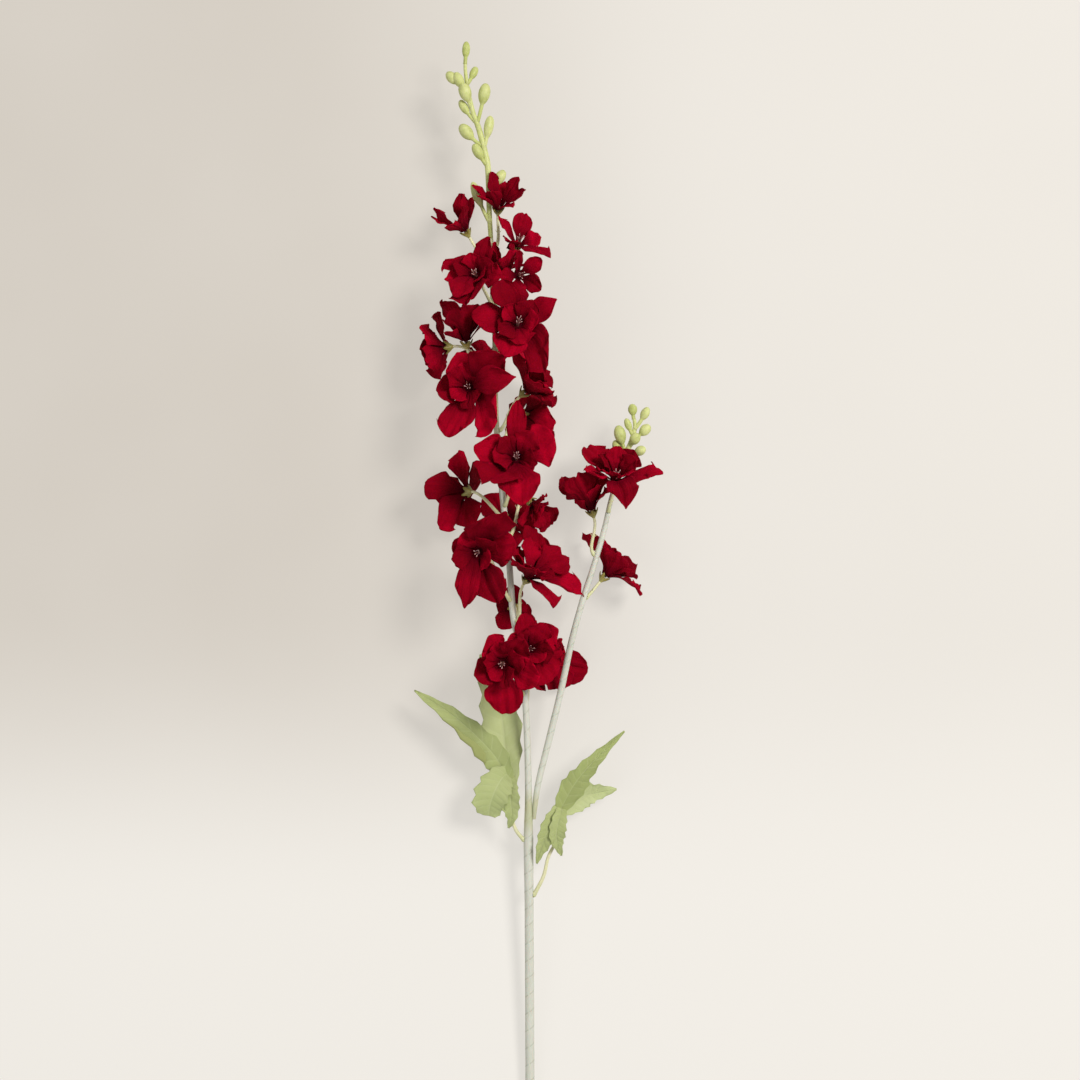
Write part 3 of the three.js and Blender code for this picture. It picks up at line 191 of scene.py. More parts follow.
BLOOMS = [
    Bloom((-16, 197, 70), (0.1, 0.2, 0.97), 28, 10, 176, {
        0: Own(1.1, sway=19), 2: Own(1.1), 3: Own(1.38, 0.95, 0.1, sway=-16),
        4: Own(1.24, 0.75, 1, lift=14, sway=2)}),
    Bloom((-50, 153, 67), (-0.15, 0.1, 0.98), 28, 25, 131, {
        0: Own(0.9, sway=-12), 1: Own(0.75, sway=10), 2: Own(1.2, 1.1, sway=-8),
        3: Own(1.3, 1.35, 0.2, sway=-32), 4: Own(1.25, 1.2, 0.2), 13: Own(2.3, 1, 1, lift=-30)}),
    Bloom((-17, 102, 70), (0.05, 0.25, 0.96), 29, 0, 70, {
        0: Own(1.25, 0.65, 0.5), 1: Own(1.1, 1, sway=4), 2: Own(1.35, 1.4, 0.2), 3: Own(0.6),
        4: Own(1.05, 1.25, 0), 12: Own(2.3, 1.6, 0.3, lift=-30)}),
    Bloom((-43, 37, 67), (-0.25, -0.15, 0.93), 29, -16, 2, {
        0: Own(1.3, drawn=0, sway=-16), 1: Own(0.45, 0.7, sway=12), 2: Own(0.65, 0.75, sway=-12),
        3: Own(1.38, 1.1, 0.2, sway=16), 4: Own(1.1, drawn=0, sway=10),
        12: Own(2.1, 0.85, 1, lift=-30, sway=7)}),
    Bloom((-26, -42, 65), (-0.1, -0.1, 0.99), 25, 36, -66, {
        0: Own(0.9, sway=-18), 1: Own(0.8, sway=12), 2: Own(1.5, 1.35, 0, sway=5),
        3: Own(1.2, drawn=0, sway=-8), 12: Own(1.3, drawn=0)}),
    Bloom((-9, -33, 54), (0.35, 0.1, 0.9), 27, 11, -58, {
        0: Own(0.75), 3: Own(1.08, 1.4, 0.2, sway=-8), 4: Own(0.9)}),
    Bloom((-45, 232, 65), (-0.25, 0.35, 0.9), 24, -28, 214, {
        0: Own(1.1, 0.6, 0.5, sway=10), 1: Own(0.8, drawn=0.8, sway=26), 2: Own(0.9, 0.75, 1, sway=-12),
        3: Own(1.3, 1.5, 0.1), 4: Own(0.9), 12: Own(1.7, 1.3, lift=-30, sway=10)}),
    Bloom((-8.6, 18.5, 54), (0.45, 0.72, 0.4), 28, 20, -14, {
        4: Own(1.2, 1.2, sway=20), 3: Own(1.6, 0.8, 1, lift=-54, sway=-3),
        2: Own(1.1, 0.6, 1, lift=-50, sway=28), 13: Own(1.55, 1.5, lift=-15), 14: Own(1.4, 1.2)}),
    Bloom((-68, 183.5, 42), (-0.8, -0.1, -0.35), 25, 22, 166, {
        1: Own(1.1, drawn=0), 2: Own(0.85), 4: Own(0.9)}),
    Bloom((-53, 188, 50), (-0.15, 0.95, 0.15), 33, 10, 138, {4: Own(0.6)}, form="closed"),
    Bloom((-53, 80, 44), (-0.6, 0.05, -0.65), 26, 5, 62, {
        0: Own(1.2), 1: Own(1.4, 1.3), 2: Own(1.3, drawn=1), 3: Own(1.15, 0.85, 0.2, sway=-26),
        4: Own(1, sway=-8)}),
    Bloom((-10, 152, 46), (0.72, 0.64, 0.1), 27, 30, 124, {
        0: Own(1.1, 1.6), 2: Own(0.75, lift=-25), 3: Own(1.1, drawn=1, lift=-20), 4: Own(1.2, 1.3),
        10: Own(1.25), 13: Own(1.35, drawn=0.8)}),
    Bloom((-30, 283.5, 48), (0.05, 0.75, 0.6), 23.5, 27, 254, {1: Own(1.1)}, form="narrow"),
    Bloom((-54, 268, 44), (-0.5, 0.8, 0.3), 25, -14, 243, {
        2: Own(1.2, 0.6, 1, lift=-60), 3: Own(lift=20), 4: Own(lift=26)}, form="narrow"),
    Bloom((-16, 257, 50), (0.25, 0.6, 0.7), 24, -18, 239, {
        0: Own(0.85, drawn=0.1), 1: Own(0.95, 0.7, 1, sway=-12), 2: Own(0.6),
        3: Own(1.3, 0.7, 0.9, sway=16), 4: Own(0.65, sway=-12)}, form="single"),
    Bloom((-15, 234, 56), (0.3, -0.1, 0.93), 17, 22, 215, {
        0: Own(1.1, 0.6), 2: Own(0.8), 4: Own(1.15)}, form="single"),
    Bloom((-24.3, 237, 50), (-0.15, 0.95, 0.3), 24, 10, 222, {
        0: Own(1, lift=30), 1: Own(0.9, lift=40), 2: Own(1, lift=30), 3: Own(1, lift=40),
        4: Own(1, lift=40)}, form="single"),
    Bloom((-12, 136, 24), (0.55, -0.15, -0.75), 26, 15, 112, {1: Own(0.85)}),
    Bloom((-5, 71, 38), (0.6, -0.55, 0.3), 22, 50, 48, {
        0: Own(0.6), 2: Own(0.5, sway=-14), 3: Own(0.95, 1.05, 0.1, sway=-15), 4: Own(0.45), 11: Own(0.7),
        13: Own(0.6), 14: Own(0.6)}),
    Bloom((3, -47, 10.5), (0.75, -0.1, 0.65), 28, -18, -72, {
        0: Own(0.8), 2: Own(0.85), 3: Own(0.5, lift=20), 4: Own(1.05, drawn=0.1)}),
    Bloom((-19, -5, 14), (-0.1, -0.1, -0.98), 18, 0, -26, {1: Own(0.5), 4: Own(0.7)}),
    Bloom((-26, 60, 17), (0.2, 0.1, -0.97), 25, 25, 38),
    Bloom((-41, 175, 20), (-0.5, -0.1, -0.85), 25, 10, 150, {0: Own(0.75), 3: Own(0.6), 4: Own(0.6)}),
    Bloom((54, 88, 51), (0.1, 0.8, 0.55), 28, 30, 66, {
        0: Own(1.32, drawn=0.1), 2: Own(1.5, 0.8, 1, lift=-60, sway=10),
        3: Own(1.2, 0.75, 1, lift=-6, sway=20), 4: Own(0.85, sway=-10)}, side=True),
    Bloom((37, 67, 42), (-0.3, 0.94, 0.1), 32, 0, 34, {
        1: Own(0.7, lift=-60), 4: Own(0.5, lift=50)}, form="closed", side=True),
    Bloom((47.5, 19.6, 31), (0.62, 0.75, -0.1), 27, 10, 4, {
        0: Own(1.15, 1.2, lift=-90, sway=-40), 1: Own(0.7), 2: Own(1.15, 1.2, 1, lift=-45, sway=15),
        3: Own(1.25, drawn=1, lift=-6), 4: Own(0.75)}, form="closed", side=True),
]

# Petal layers from the outside in: number of petals, reach and width as parts of the bloom's length,
# rise in degrees at foot and tip, and how pointed the petals are.
FORMS = {
    "full": [(5, 1, 0.44, (42, 8), 0.35), (5, 0.68, 0.33, (66, 28), 0.25)],
    "closed": [(5, 1, 0.42, (56, 26), 0.4), (5, 0.62, 0.28, (76, 52), 0.3)],
    "single": [(5, 1, 0.36, (52, 12), 0.3)],
    "narrow": [(8, 1, 0.18, (58, 22), 0.5)],
}
ROWS = [(0, 0.33, 0.66, 1), (0, 0.55, 1)]  # places along a petal where the part has points, by layer

# Ways in which the part may have bent a petal clear of its neighbours.
LIFTS = (0, 10, -10, 20, -20, 32, -32, 46, -46)
SWAYS = (0, 9, -9)
SHORTENINGS = (1, 0.85, 0.7, 0.55)

# ---------- small helpers ----------


def mix(low, high, part):
    return low + (high - low) * part


def smooth(x, low, high):
    part = np.clip((x - low) / (high - low), 0, 1)
    return part * part * (3 - 2 * part)


def wave(turns):
    return np.sin(2 * math.pi * turns)


def bell(x):
    return np.exp(-(x**2))


def around(count):
    """Even angles round a full turn."""
    return np.arange(count) * 2 * math.pi / count


def unit(vector):
    return vector / np.linalg.norm(vector, axis=-1, keepdims=True)


def draw(bloom, petal, prop):
    """A repeatable draw from 0 to 1 for one property of one petal, the same as the part's."""
    state = 1 + bloom * 7919 + petal * 10007 + prop * 101
    for _ in range(4):
        state = (state * 48271) % 2147483647
    return state / 2147483647


def spread(bloom, petal, prop):
    return 2 * draw(bloom, petal, prop) - 1


def cross_axes(axis):
    """Two unit vectors square to an axis, the first one turned towards +Y where that is possible."""
    towards = AXIS_Y if abs(axis[1]) < 0.9 else AXIS_Z
    first = unit(towards - axis * towards.dot(axis))
    return first, np.cross(axis, first)


def smooth_curve(stations, count):
    """Points, and what else the stations hold, along a centripetal curve through the stations."""
    nodes = np.asarray(stations, float)
    nodes = np.vstack([2 * nodes[0] - nodes[1], nodes, 2 * nodes[-1] - nodes[-2]])
    place = np.linspace(0, 1, count) * (len(stations) - 1)
    before = np.minimum(place.astype(int), len(stations) - 2)
    part = (place - before)[:, None]
    a, b, c, d = (nodes[before + step] for step in range(4))

    def root_gap(p, q):
        return np.sqrt(np.linalg.norm(q[:, :3] - p[:, :3], axis=1))[:, None]

    ab, bc, cd = root_gap(a, b), root_gap(b, c), root_gap(c, d)
    leave = ((b - a) / ab - (c - a) / (ab + bc) + (c - b) / bc) * bc
    arrive = ((c - b) / bc - (d - b) / (bc + cd) + (d - c) / cd) * bc
    return (
        b * (2 * part**3 - 3 * part**2 + 1)
        + leave * (part**3 - 2 * part**2 + part)
        + c * (3 * part**2 - 2 * part**3)
        + arrive * (part**3 - part**2)
    )


def bezier(controls, places):
    """Points of a Bezier curve of any degree."""
    degree = len(controls) - 1
    points = 0
    for step, control in enumerate(controls):
        weight = math.comb(degree, step) * places**step * (1 - places) ** (degree - step)
        points = points + weight[:, None] * np.asarray(control, float)
    return points


def carried_frames(points):
    """Along a curve: unit directions and two cross axes that turn as little as possible."""
    along = unit(np.gradient(points, axis=0))
    first = np.empty_like(along)
    first[0] = cross_axes(along[0])[0]
    for step in range(1, len(points)):
        first[step] = unit(first[step - 1] - along[step] * first[step - 1].dot(along[step]))
    return along, first, np.cross(along, first)


def grid_normals(grid, ring=False):
    """Unit normals of a grid of points."""
    along = np.gradient(grid, axis=0)
    if ring:
        across = (np.roll(grid, -1, axis=1) - np.roll(grid, 1, axis=1)) / 2
    else:
        across = np.gradient(grid, axis=1)
    normal = np.cross(along, across)
    return normal / np.maximum(np.linalg.norm(normal, axis=-1, keepdims=True), 1e-9)


def add_object(name, data):
    """A new object in the scene."""
    made = bpy.data.objects.new(name, data)
    bpy.context.scene.collection.objects.link(made)
    return made


class Mesh:
    """Collects faces and points; a point has a place along, a place across and a tone."""

    def __init__(self):
        self.points, self.faces, self.places, self.tones, self.count = [], [], [], [], 0

    def add(self, points, faces, places, tone):
        points = np.asarray(points, float).reshape(-1, 3)
        self.points.append(points)
        self.places.append(np.asarray(places, float).reshape(-1, 2))
        self.tones.append(np.full(len(points), tone))
        self.faces.extend([[index + self.count for index in face] for face in faces])
        self.count += len(points)

    def grid(self, grid, places, thickness, tone=0.5, ring=False, under=None):
        """A thin closed sheet. A ring's last column joins its first; under is the low side's own tone."""
        rows, columns = grid.shape[:2]
        normal = grid_normals(grid, ring)
        low = (grid - 0.5 * thickness * normal).reshape(-1, 3)
        high = (grid + 0.5 * thickness * normal).reshape(-1, 3)
        other = rows * columns
        faces = []
        spans = columns if ring else columns - 1

        def index(row, column):
            return row * columns + column % columns

        def wall(a, b):
            faces.append([a, b, b + other, a + other])

        for row in range(rows - 1):
            for column in range(spans):
                a, b = index(row, column), index(row + 1, column)
                c, d = index(row + 1, column + 1), index(row, column + 1)
                faces.append([a + other, b + other, c + other, d + other])
                faces.append([a, d, c, b])
            if not ring:
                wall(index(row, 0), index(row + 1, 0))
                wall(index(row + 1, columns - 1), index(row, columns - 1))
        for column in range(spans):
            wall(index(rows - 1, column), index(rows - 1, column + 1))
            wall(index(0, column + 1), index(0, column))
        tones = np.repeat([tone if under is None else under, tone], other)
        self.add(np.vstack([low, high]), faces, np.vstack([places.reshape(-1, 2)] * 2), tones)

    def tube(self, points, radii, sides, tone=0.5, shape=None):
        """A closed round tube; radii may vary along it, and shape(angle, place) scales them."""
        count = len(points)
        _, first, second = carried_frames(points)
        angle = around(sides)
        place = np.linspace(0, 1, count)
        radius = radii[:, None]
        if shape is not None:
            radius = radius * shape(angle[None, :], place[:, None])
        ring = (
            points[:, None, :]
            + (radius * np.cos(angle))[..., None] * first[:, None, :]
            + (radius * np.sin(angle))[..., None] * second[:, None, :]
        )
        faces = []
        for row in range(count - 1):
            for side in range(sides):
                here, next_side = row * sides + side, row * sides + (side + 1) % sides
                faces.append([here, next_side, next_side + sides, here + sides])
        ends = count * sides
        top = ends - sides
        for side in range(sides):
            next_side = (side + 1) % sides
            faces.append([ends, next_side, side])
            faces.append([ends + 1, top + side, top + next_side])
        travelled = np.concatenate([[0], np.cumsum(np.linalg.norm(np.diff(points, axis=0), axis=1))])
        travelled = travelled / 100  # a place along counts tenths of a metre
        places = np.stack(np.broadcast_arrays(travelled[:, None], angle[None, :] / (2 * math.pi)), -1)
        places = np.vstack([places.reshape(-1, 2), [[travelled[0], 0], [travelled[-1], 0]]])
        self.add(np.vstack([ring.reshape(-1, 3), points[:1], points[-1:]]), faces, places, tone)

    def piece(self, name, material, replaces=()):
        """Makes the Blender object, which rides on the part's one body."""
        points = np.vstack(self.points)
        points[:, 0] += TO_MIDDLE
        mesh = bpy.data.meshes.new(name)
        mesh.from_pydata((points * MM).tolist(), [], self.faces)
        places = np.vstack(self.places)
        loops = np.empty(len(mesh.loops), int)
        mesh.loops.foreach_get("vertex_index", loops)
        layer = mesh.uv_layers.new(name="Place")
        layer.data.foreach_set("uv", places[loops].astype(np.float32).ravel())
        tone = mesh.attributes.new("tone", "FLOAT", "POINT")
        tone.data.foreach_set("value", np.concatenate(self.tones).astype(np.float32))
        mesh.shade_smooth()
        mesh.materials.append(material)
        made = add_object(name, mesh)
        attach(made, "root")
        if replaces:
            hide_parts(*replaces)


# ---------- petals ----------


def bloom_layers(bloom, number):
    """The petals of each layer, as the part draws them."""
    for level, (lobes, reach, width, rise, pointed) in enumerate(FORMS[bloom.form]):
        petals = []
        for lobe in range(lobes):
            index = level * 10 + lobe
            pick, vary = partial(draw, number, index), partial(spread, number, index)
            own = bloom.own.get(index, Own())
            wider = math.sqrt(own.longer) if own.wider is None else own.wider
            drawn = min(max(pointed + 0.35 * vary(9), 0), 1) if own.drawn is None else own.drawn
            petals.append({
                "lobes": lobes,
                "angle": math.radians(bloom.turn) + (lobe + level / 2) * 2 * math.pi / lobes,
                "base": level * LAYER_STEP,
                "length": bloom.length * reach * (own.longer + 0.14 * vary(1)),
                "half": bloom.length * width * (wider + 0.1 * vary(2)),
                "rise": (math.radians(rise[0] + 7 * vary(3)),
                         math.radians(rise[1] + 24 * vary(4) + own.lift)),
                "twist": math.radians(11 + 6 * vary(5)),
                "cup": 0.12 + 0.18 * vary(6),
                "wave": (pick(7), pick(8)),
                "wave_height": 0.075 * bloom.length * reach,
                "cap_depth": mix(0.13, 0.34, drawn),
                "cap_power": mix(2.4, 0.9, drawn),
                "shoulder": mix(0.62, 0.3, drawn),
                "sway": math.radians(own.sway + 8 * vary(10)),
                "curl": mix(-0.35, 0.8, pick(30)),
                "roll": mix(-0.5, 1, pick(32)),
                "creases": [(0.6 * vary(33), 0.5 * vary(36)), (0.6 * vary(34), 0.5 * vary(37))],
                "tone": pick(31),
            })
        yield petals


def petal_outline(petal, place):
    """Half width of a petal from foot to tip, as a part of its greatest half width."""
    widest = 0.62
    below = 0.3 + 0.7 * np.sin(0.5 * math.pi * np.minimum(place, widest) / widest)
    above = 1 - (1 - petal["shoulder"]) * (np.maximum(place - widest, 0) / (1 - widest)) ** 2
    return np.where(place < widest, below, above)


def petal_surface(petal, u, v, fine=False):
    """A petal's middle surface in its bloom's own axes: u from foot to tip, v across.

    A fine petal has what only the cloth has: a rounder tip and corners, fuller sides and small folds.
    """
    blunt = BLUNT if fine else 0
    half_power = petal["cap_power"] / 2
    away = (v * v + blunt) ** half_power - blunt**half_power
    corner = (np.abs(v) * u) ** 5 if fine else 0 * u
    place = u - petal["cap_depth"] * away * u**5 - 0.11 * corner
    foot, tip = petal["rise"]
    slope = foot + (tip - foot) * place
    run = petal["length"] * (np.sin(slope) - math.sin(foot)) / (tip - foot)
    climb = petal["length"] * (math.cos(foot) - np.cos(slope)) / (tip - foot)

    grown = smooth(u, 0, 0.35)
    sector = math.pi / petal["lobes"]
    room = math.tan(sector) * (HUB + run) * (0.9 + 0.4 * smooth(u, 0.35, 0.8))
    half = np.minimum(petal["half"] * petal_outline(petal, place), room)
    if fine:
        half = half * (WIDER[petal["lobes"]] - 0.2 * corner)
    side = mix(HUB * np.sin(v * sector), half * v, grown)
    inward = HUB * (1 - np.cos(v * sector)) * (1 - grown)

    phase = np.where(v < 0, petal["wave"][0], petal["wave"][1])
    swell = petal["wave_height"] * u * u * wave(1.1 * u + phase) * v * v
    raised = side * np.sin(petal["twist"] * grown) + (petal["cup"] * half * v * v + swell) * grown
    if fine:
        raised = raised + small_folds(petal, u, v, phase) * grown
    radius = HUB - inward + run - raised * np.sin(slope)
    sideways = side * np.cos(petal["twist"] * grown) + petal["length"] * math.sin(petal["sway"]) * u * u
    height = petal["base"] + climb + raised * np.cos(slope)
    turn = petal["angle"]
    return np.stack([
        radius * math.cos(turn) - sideways * math.sin(turn),
        radius * math.sin(turn) + sideways * math.cos(turn),
        height,
    ], -1)


def small_folds(petal, u, v, phase):
    """Heights of the folds that the solid doesn't have. Their sizes are parts of the petal's length."""
    first, second = petal["wave"]
    edge = np.abs(v)
    waves = min(1, petal["length"] / 24)  # a short petal has fewer of them
    outer = smooth(u, 0.1, 0.6)
    rim = 0.044 * edge**3 * u * wave(2.7 * waves * u + 1.3 * phase)
    ruffle = 0.014 * edge**4 * u * wave(4.3 * waves * u + 2.7 * phase)
    tip = 0.036 * u**6 * wave(1.15 * v + first + second)
    rib = -0.024 * bell(v / 0.15) * np.sin(math.pi * u)
    pleats = 0.014 * np.cos(7 * math.pi * v) * (1 - u) ** 1.3
    creases = -0.042 * outer * sum(bell((v - start - lean * u) / 0.13) for start, lean in petal["creases"])
    crumple = 0.03 * outer * wave(1.5 * u + 0.9 * v + first) * wave(0.8 * u - 1.2 * v + second)
    rolled = 0.3 * petal["roll"] * np.clip(edge - 0.5, 0, 1) ** 2 * u
    curl = 0.85 * petal["curl"] * np.clip(u - 0.62, 0, 1) ** 2
    breadth = min(1, petal["half"] / (0.4 * petal["length"]))  # a narrow petal has smaller folds
    folds = rim + ruffle + tip + rib + pleats + creases + crumple + rolled
    return petal["length"] * (breadth * folds + curl)


def bloom_place(bloom):
    """The bloom's own axes and place: rows first, second and axis, and the throat."""
    axis = unit(np.array(bloom.faces, float))
    return np.array([*cross_axes(axis), axis]), np.array(bloom.at, float)


def bent(petal, lift, sway, shortening):
    foot, tip = petal["rise"]
    return {
        **petal,
        "length": petal["length"] * shortening,
        "half": petal["half"] * math.sqrt(shortening),
        "rise": (foot + math.radians(0.5 * lift), tip + math.radians(1.3 * lift)),
        "sway": petal["sway"] + math.radians(sway),
    }


def node_points(name):
    """The corners of one of the part's nodes, in millimetres in the tables' own frame."""
    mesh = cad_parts[name].data
    points = np.empty(len(mesh.vertices) * 3)
    mesh.vertices.foreach_get("co", points)
    return points.reshape(-1, 3) / MM - np.array([TO_MIDDLE, 0, 0])


def as_bent_in_part(petal, rows, axes, throat, corners):
    """The petal bent the way that brings its surface to the corners of the part's own bloom."""
    u, v = np.meshgrid(rows[1:], (-1.0, 0.0, 1.0), indexing="ij")

    def misfit(way):
        points = petal_surface(way, u, v).reshape(-1, 3) @ axes + throat
        points[:, 2] = np.where(points[:, 2] < PRESSED, CLOTH / 2, points[:, 2])
        return np.linalg.norm(points[:, None, :] - corners[None, :, :], axis=2).min(1).sum()

    return min((bent(petal, *bend) for bend in product(LIFTS, SWAYS, SHORTENINGS)), key=misfit)


def lie_on_floor(points):
    """What would reach the floor bends into a flat, soft contact."""
    lift = smooth(points[..., 2], -1.5, 5)
    pressed = points.copy()
    pressed[..., 2] = mix(THIN / 2, np.maximum(points[..., 2], THIN / 2), lift)
    return pressed


def held_off(points, stations):
    """Cloth that would reach into a stem lies against it."""
    curve = smooth_curve(stations, 160)
    outward = points[..., None, :] - curve[:, :3]
    distance = np.linalg.norm(outward, axis=-1)
    nearest = distance.argmin(-1)
    outward = np.take_along_axis(outward, nearest[..., None, None], -2)[..., 0, :]
    short = curve[nearest, 3] + THIN - distance.min(-1)
    return points + unit(outward) * np.maximum(short, 0)[..., None]


def make_petals(bloom, number, material):
    name = f"bloom_{number:02d}"
    axes, throat = bloom_place(bloom)
    corners = node_points(name)
    mesh = Mesh()
    rows, columns = PETAL_GRID
    u, v = np.meshgrid(np.linspace(0, 1, rows), np.linspace(-1, 1, columns), indexing="ij")
    for part_rows, petals in zip(ROWS, bloom_layers(bloom, number)):
        for petal in petals:
            way = as_bent_in_part(petal, part_rows, axes, throat, corners)
            grid = lie_on_floor(petal_surface(way, u, v, fine=True) @ axes + throat)
            for stations in (MAIN_STEM, SIDE_STEM):
                grid = held_off(grid, stations)
            mesh.grid(grid, np.stack([u, v], -1), THIN, petal["tone"])
        turn, radius = np.meshgrid(around(30), np.linspace(HOLE - 0.6, HUB + 0.1, 4))
        disc = np.stack([radius * np.cos(turn), radius * np.sin(turn), 0 * turn + petals[0]["base"]], -1)
        mesh.grid(disc[::-1] @ axes + throat, np.zeros((*turn.shape, 2)), THIN, 0.4, ring=True)
    mesh.piece(f"petals_{number:02d}", material, [name])


# ---------- stalks, calyx and filaments ----------


def stem_at(stations, y):
    """The point of a stem's axis at a height y, with its radius and direction there."""
    nodes = np.array(stations, float)
    above = int(np.searchsorted(nodes[:, 1], y))
    low, high = nodes[above - 1], nodes[above]
    part = (y - low[1]) / (high[1] - low[1])
    return mix(low[:3], high[:3], part), mix(low[3], high[3], part), unit(high[:3] - low[:3])


def seat_on(stations, y, towards):
    """Where a stalk sits on its stem, on the side that looks towards a point."""
    centre, radius, along = stem_at(stations, y)
    way = towards - centre
    outward = unit(way - along * way.dot(along))
    return centre + outward * (radius + SEAT_GAP), outward


def make_stalk(bloom, number, looks):
    """A flower stalk, thicker where it sits on its stem, with two small spikes at its middle."""
    axes, throat = bloom_place(bloom)
    axis = axes[2]
    foot = throat + axis * CALYX["foot"]
    start, outward = seat_on(SIDE_STEM if bloom.side else MAIN_STEM, bloom.root, foot)
    reach = np.linalg.norm(foot - start)
    controls = [start, start + (outward * 0.2 + AXIS_Y * 0.18) * reach, foot - axis * 0.4 * reach, foot]
    places = np.linspace(0, 1, 26)
    points = np.vstack([start - outward * SEAT_GAP, bezier(controls, places), foot + axis * 2])
    radii = np.concatenate([[SEAT["stalk"]], mix(STALK["root"], STALK["neck"], places), [STALK["neck"]]])
    radii[1:5] += (0.42, 0.25, 0.12, 0.04)
    mesh = Mesh()
    mesh.tube(points, radii, 12)
    node = 11 + int(4 * draw(number, 0, 41))
    along, first, second = carried_frames(points)
    for side, leans in ((1, 0.3), (-1, 0.45)):
        out = first[node] * side * math.cos(number) + second[node] * side * math.sin(number)
        root = points[node] + along[node] * leans
        spike = bezier([root, root + out * 1.6 + along[node] * 0.5, root + out * 2.6 + along[node] * 2.4],
                       np.linspace(0, 1, 7))
        mesh.tube(spike, np.linspace(0.42, 0.07, 7), 6)
    mesh.piece(f"stalk_{number:02d}", looks["stalk"], [f"bloom_stalk_{number:02d}"])
    make_calyx(axes, throat, number, looks["calyx"])
    make_filaments(axes, throat, number, looks["filament"])


def make_calyx(axes, throat, number, material):
    """A cup of five pointed, uneven sepals under the petals, with furrows between them."""
    turn, place = np.meshgrid(around(60), np.linspace(0, 1, 12))
    claw = (0.5 + 0.5 * np.cos(5 * turn + number)) ** 1.4
    uneven = claw * (1 + 0.22 * np.sin(2 * turn + 1.7 * number))
    out = smooth(place, 0.45, 1)
    belly = CUP["belly_place"]
    radius = mix(CUP["foot_radius"], CALYX["belly_radius"], smooth(place, 0, belly))
    furrow = 0.35 * np.abs(np.sin(2.5 * turn + number / 2)) * smooth(place, 0.1, 0.4) * (1 - out)
    radius = radius + out * (0.2 + 1.5 * uneven) - furrow
    below = mix(CALYX["foot"] - 0.2, CALYX["belly"], place / belly)
    above = CALYX["belly"] + (place - belly) / (1 - belly) * (0.9 + 2.3 * uneven)
    height = np.where(place > belly, above, below)
    grid = np.stack([radius * np.cos(turn), radius * np.sin(turn), height], -1) @ axes + throat
    mesh = Mesh()
    mesh.grid(lie_on_floor(grid), np.stack([place, claw], -1), CUP["thickness"], ring=True)
    mesh.piece(f"calyx_{number:02d}", material)


def make_filaments(axes, throat, number, material):
    """The tuft of thin, round-headed filaments on its boss in the throat."""
    mesh = Mesh()
    places = np.linspace(0, 1, 9)
    longer = LONG_FILAMENTS.get(number, 1)
    count = round(FILAMENT["count"] * math.sqrt(longer))
    radii = np.full(9, FILAMENT["radius"])
    radii[-3:] = (0.22, 0.36, 0.15)
    for hair in range(count):
        angle = 2 * math.pi * (hair + 0.35 * spread(number, hair, 50)) / count
        out = np.array([math.cos(angle), math.sin(angle), 0])
        height = PEG["top"] + longer * FILAMENT["length"] * (0.95 + 0.25 * spread(number, hair, 51))
        wide = FILAMENT["spread"] * (0.8 + 0.4 * spread(number, hair, 52))
        controls = [out * 0.7 + AXIS_Z * 1.2, out * 0.9 + AXIS_Z * 0.55 * height,
                    out * wide + AXIS_Z * height]
        mesh.tube(bezier(controls, places) @ axes + throat, radii, 6, 0.5 + 0.5 * spread(number, hair, 53))
    boss = bezier([-1.4 * AXIS_Z, 1.2 * AXIS_Z, PEG["top"] * AXIS_Z], np.linspace(0, 1, 8)) @ axes + throat
    mesh.tube(boss, PEG["radius"] * np.sqrt(1 - np.linspace(0, 0.93, 8) ** 2), 12, 0.2)
    mesh.piece(f"filaments_{number:02d}", material)


# ---------- stems, sprigs and leaves ----------


def make_stem(name, stations, material):
    """A tape-wound stem: every turn of the tape overlaps the one before."""
    length = sum(math.dist(a[:3], b[:3]) for a, b in zip(stations, stations[1:]))
    curve = smooth_curve(stations, int(length / 1.1))

    def wound(angle, place):
        lap = np.mod(place * length / TAPE_TURN - angle / (2 * math.pi), 1)
        ridge = 0.035 * bell(lap / 0.09) + 0.02 * lap
        lumps = 0.02 * np.sin(place * length / 9.1 + 2 * angle) * np.sin(place * length / 23 + 1)
        return 1 + ridge + lumps

    mesh = Mesh()
    mesh.tube(curve[:, :3], curve[:, 3], 22, shape=wound)
    mesh.piece(f"{name}_tape", material, [name])


def make_sprig(name, stations, buds, material):
    """A moulded spray of closed, furrowed buds on short stalks."""
    curve = smooth_curve(stations, 60)
    mesh = Mesh()
    mesh.tube(curve[:, :3], curve[:, 3], 14, 0.35)
    places = 1 - np.linspace(1, 0, 36) ** 1.7  # closer together towards the tip
    for number, (root, tip, width, length) in enumerate(buds):
        root, tip = np.array(root, float), np.array(tip, float)
        reach = np.linalg.norm(tip - root)
        elbow = (root + tip) / 2 - 0.12 * reach * AXIS_Y
        foot = max(0.25, 1 - length / reach)
        inside = np.clip((places - foot) / (1 - foot), 0, 1)
        swelling = np.sin(0.5 * math.pi * np.minimum(inside / BUD_BELLY, 1)) ** 0.7
        dome = np.sqrt(1 - (np.maximum(inside - BUD_BELLY, 0) / (1 - BUD_BELLY)) ** 2)
        radii = np.maximum(np.where(inside < BUD_BELLY, 1.35, 0), width * 0.51 * swelling * dome)
        radii[0] = 1.7
        radii[-1] = 0.1

        def furrowed(angle, place, number=number, foot=foot):
            lumps = 0.09 * np.sin(2 * angle + number) * np.sin(5 * place + number)
            furrows = 0.09 * np.abs(np.cos(2.5 * angle + number + place)) ** 6
            return 1 + smooth(place, foot, 0.9) * (lumps - furrows)

        mesh.tube(bezier([root, elbow, tip], places), radii, 20, draw(number, 3, 60), furrowed)
    mesh.piece(f"{name}_fine", material, [name])


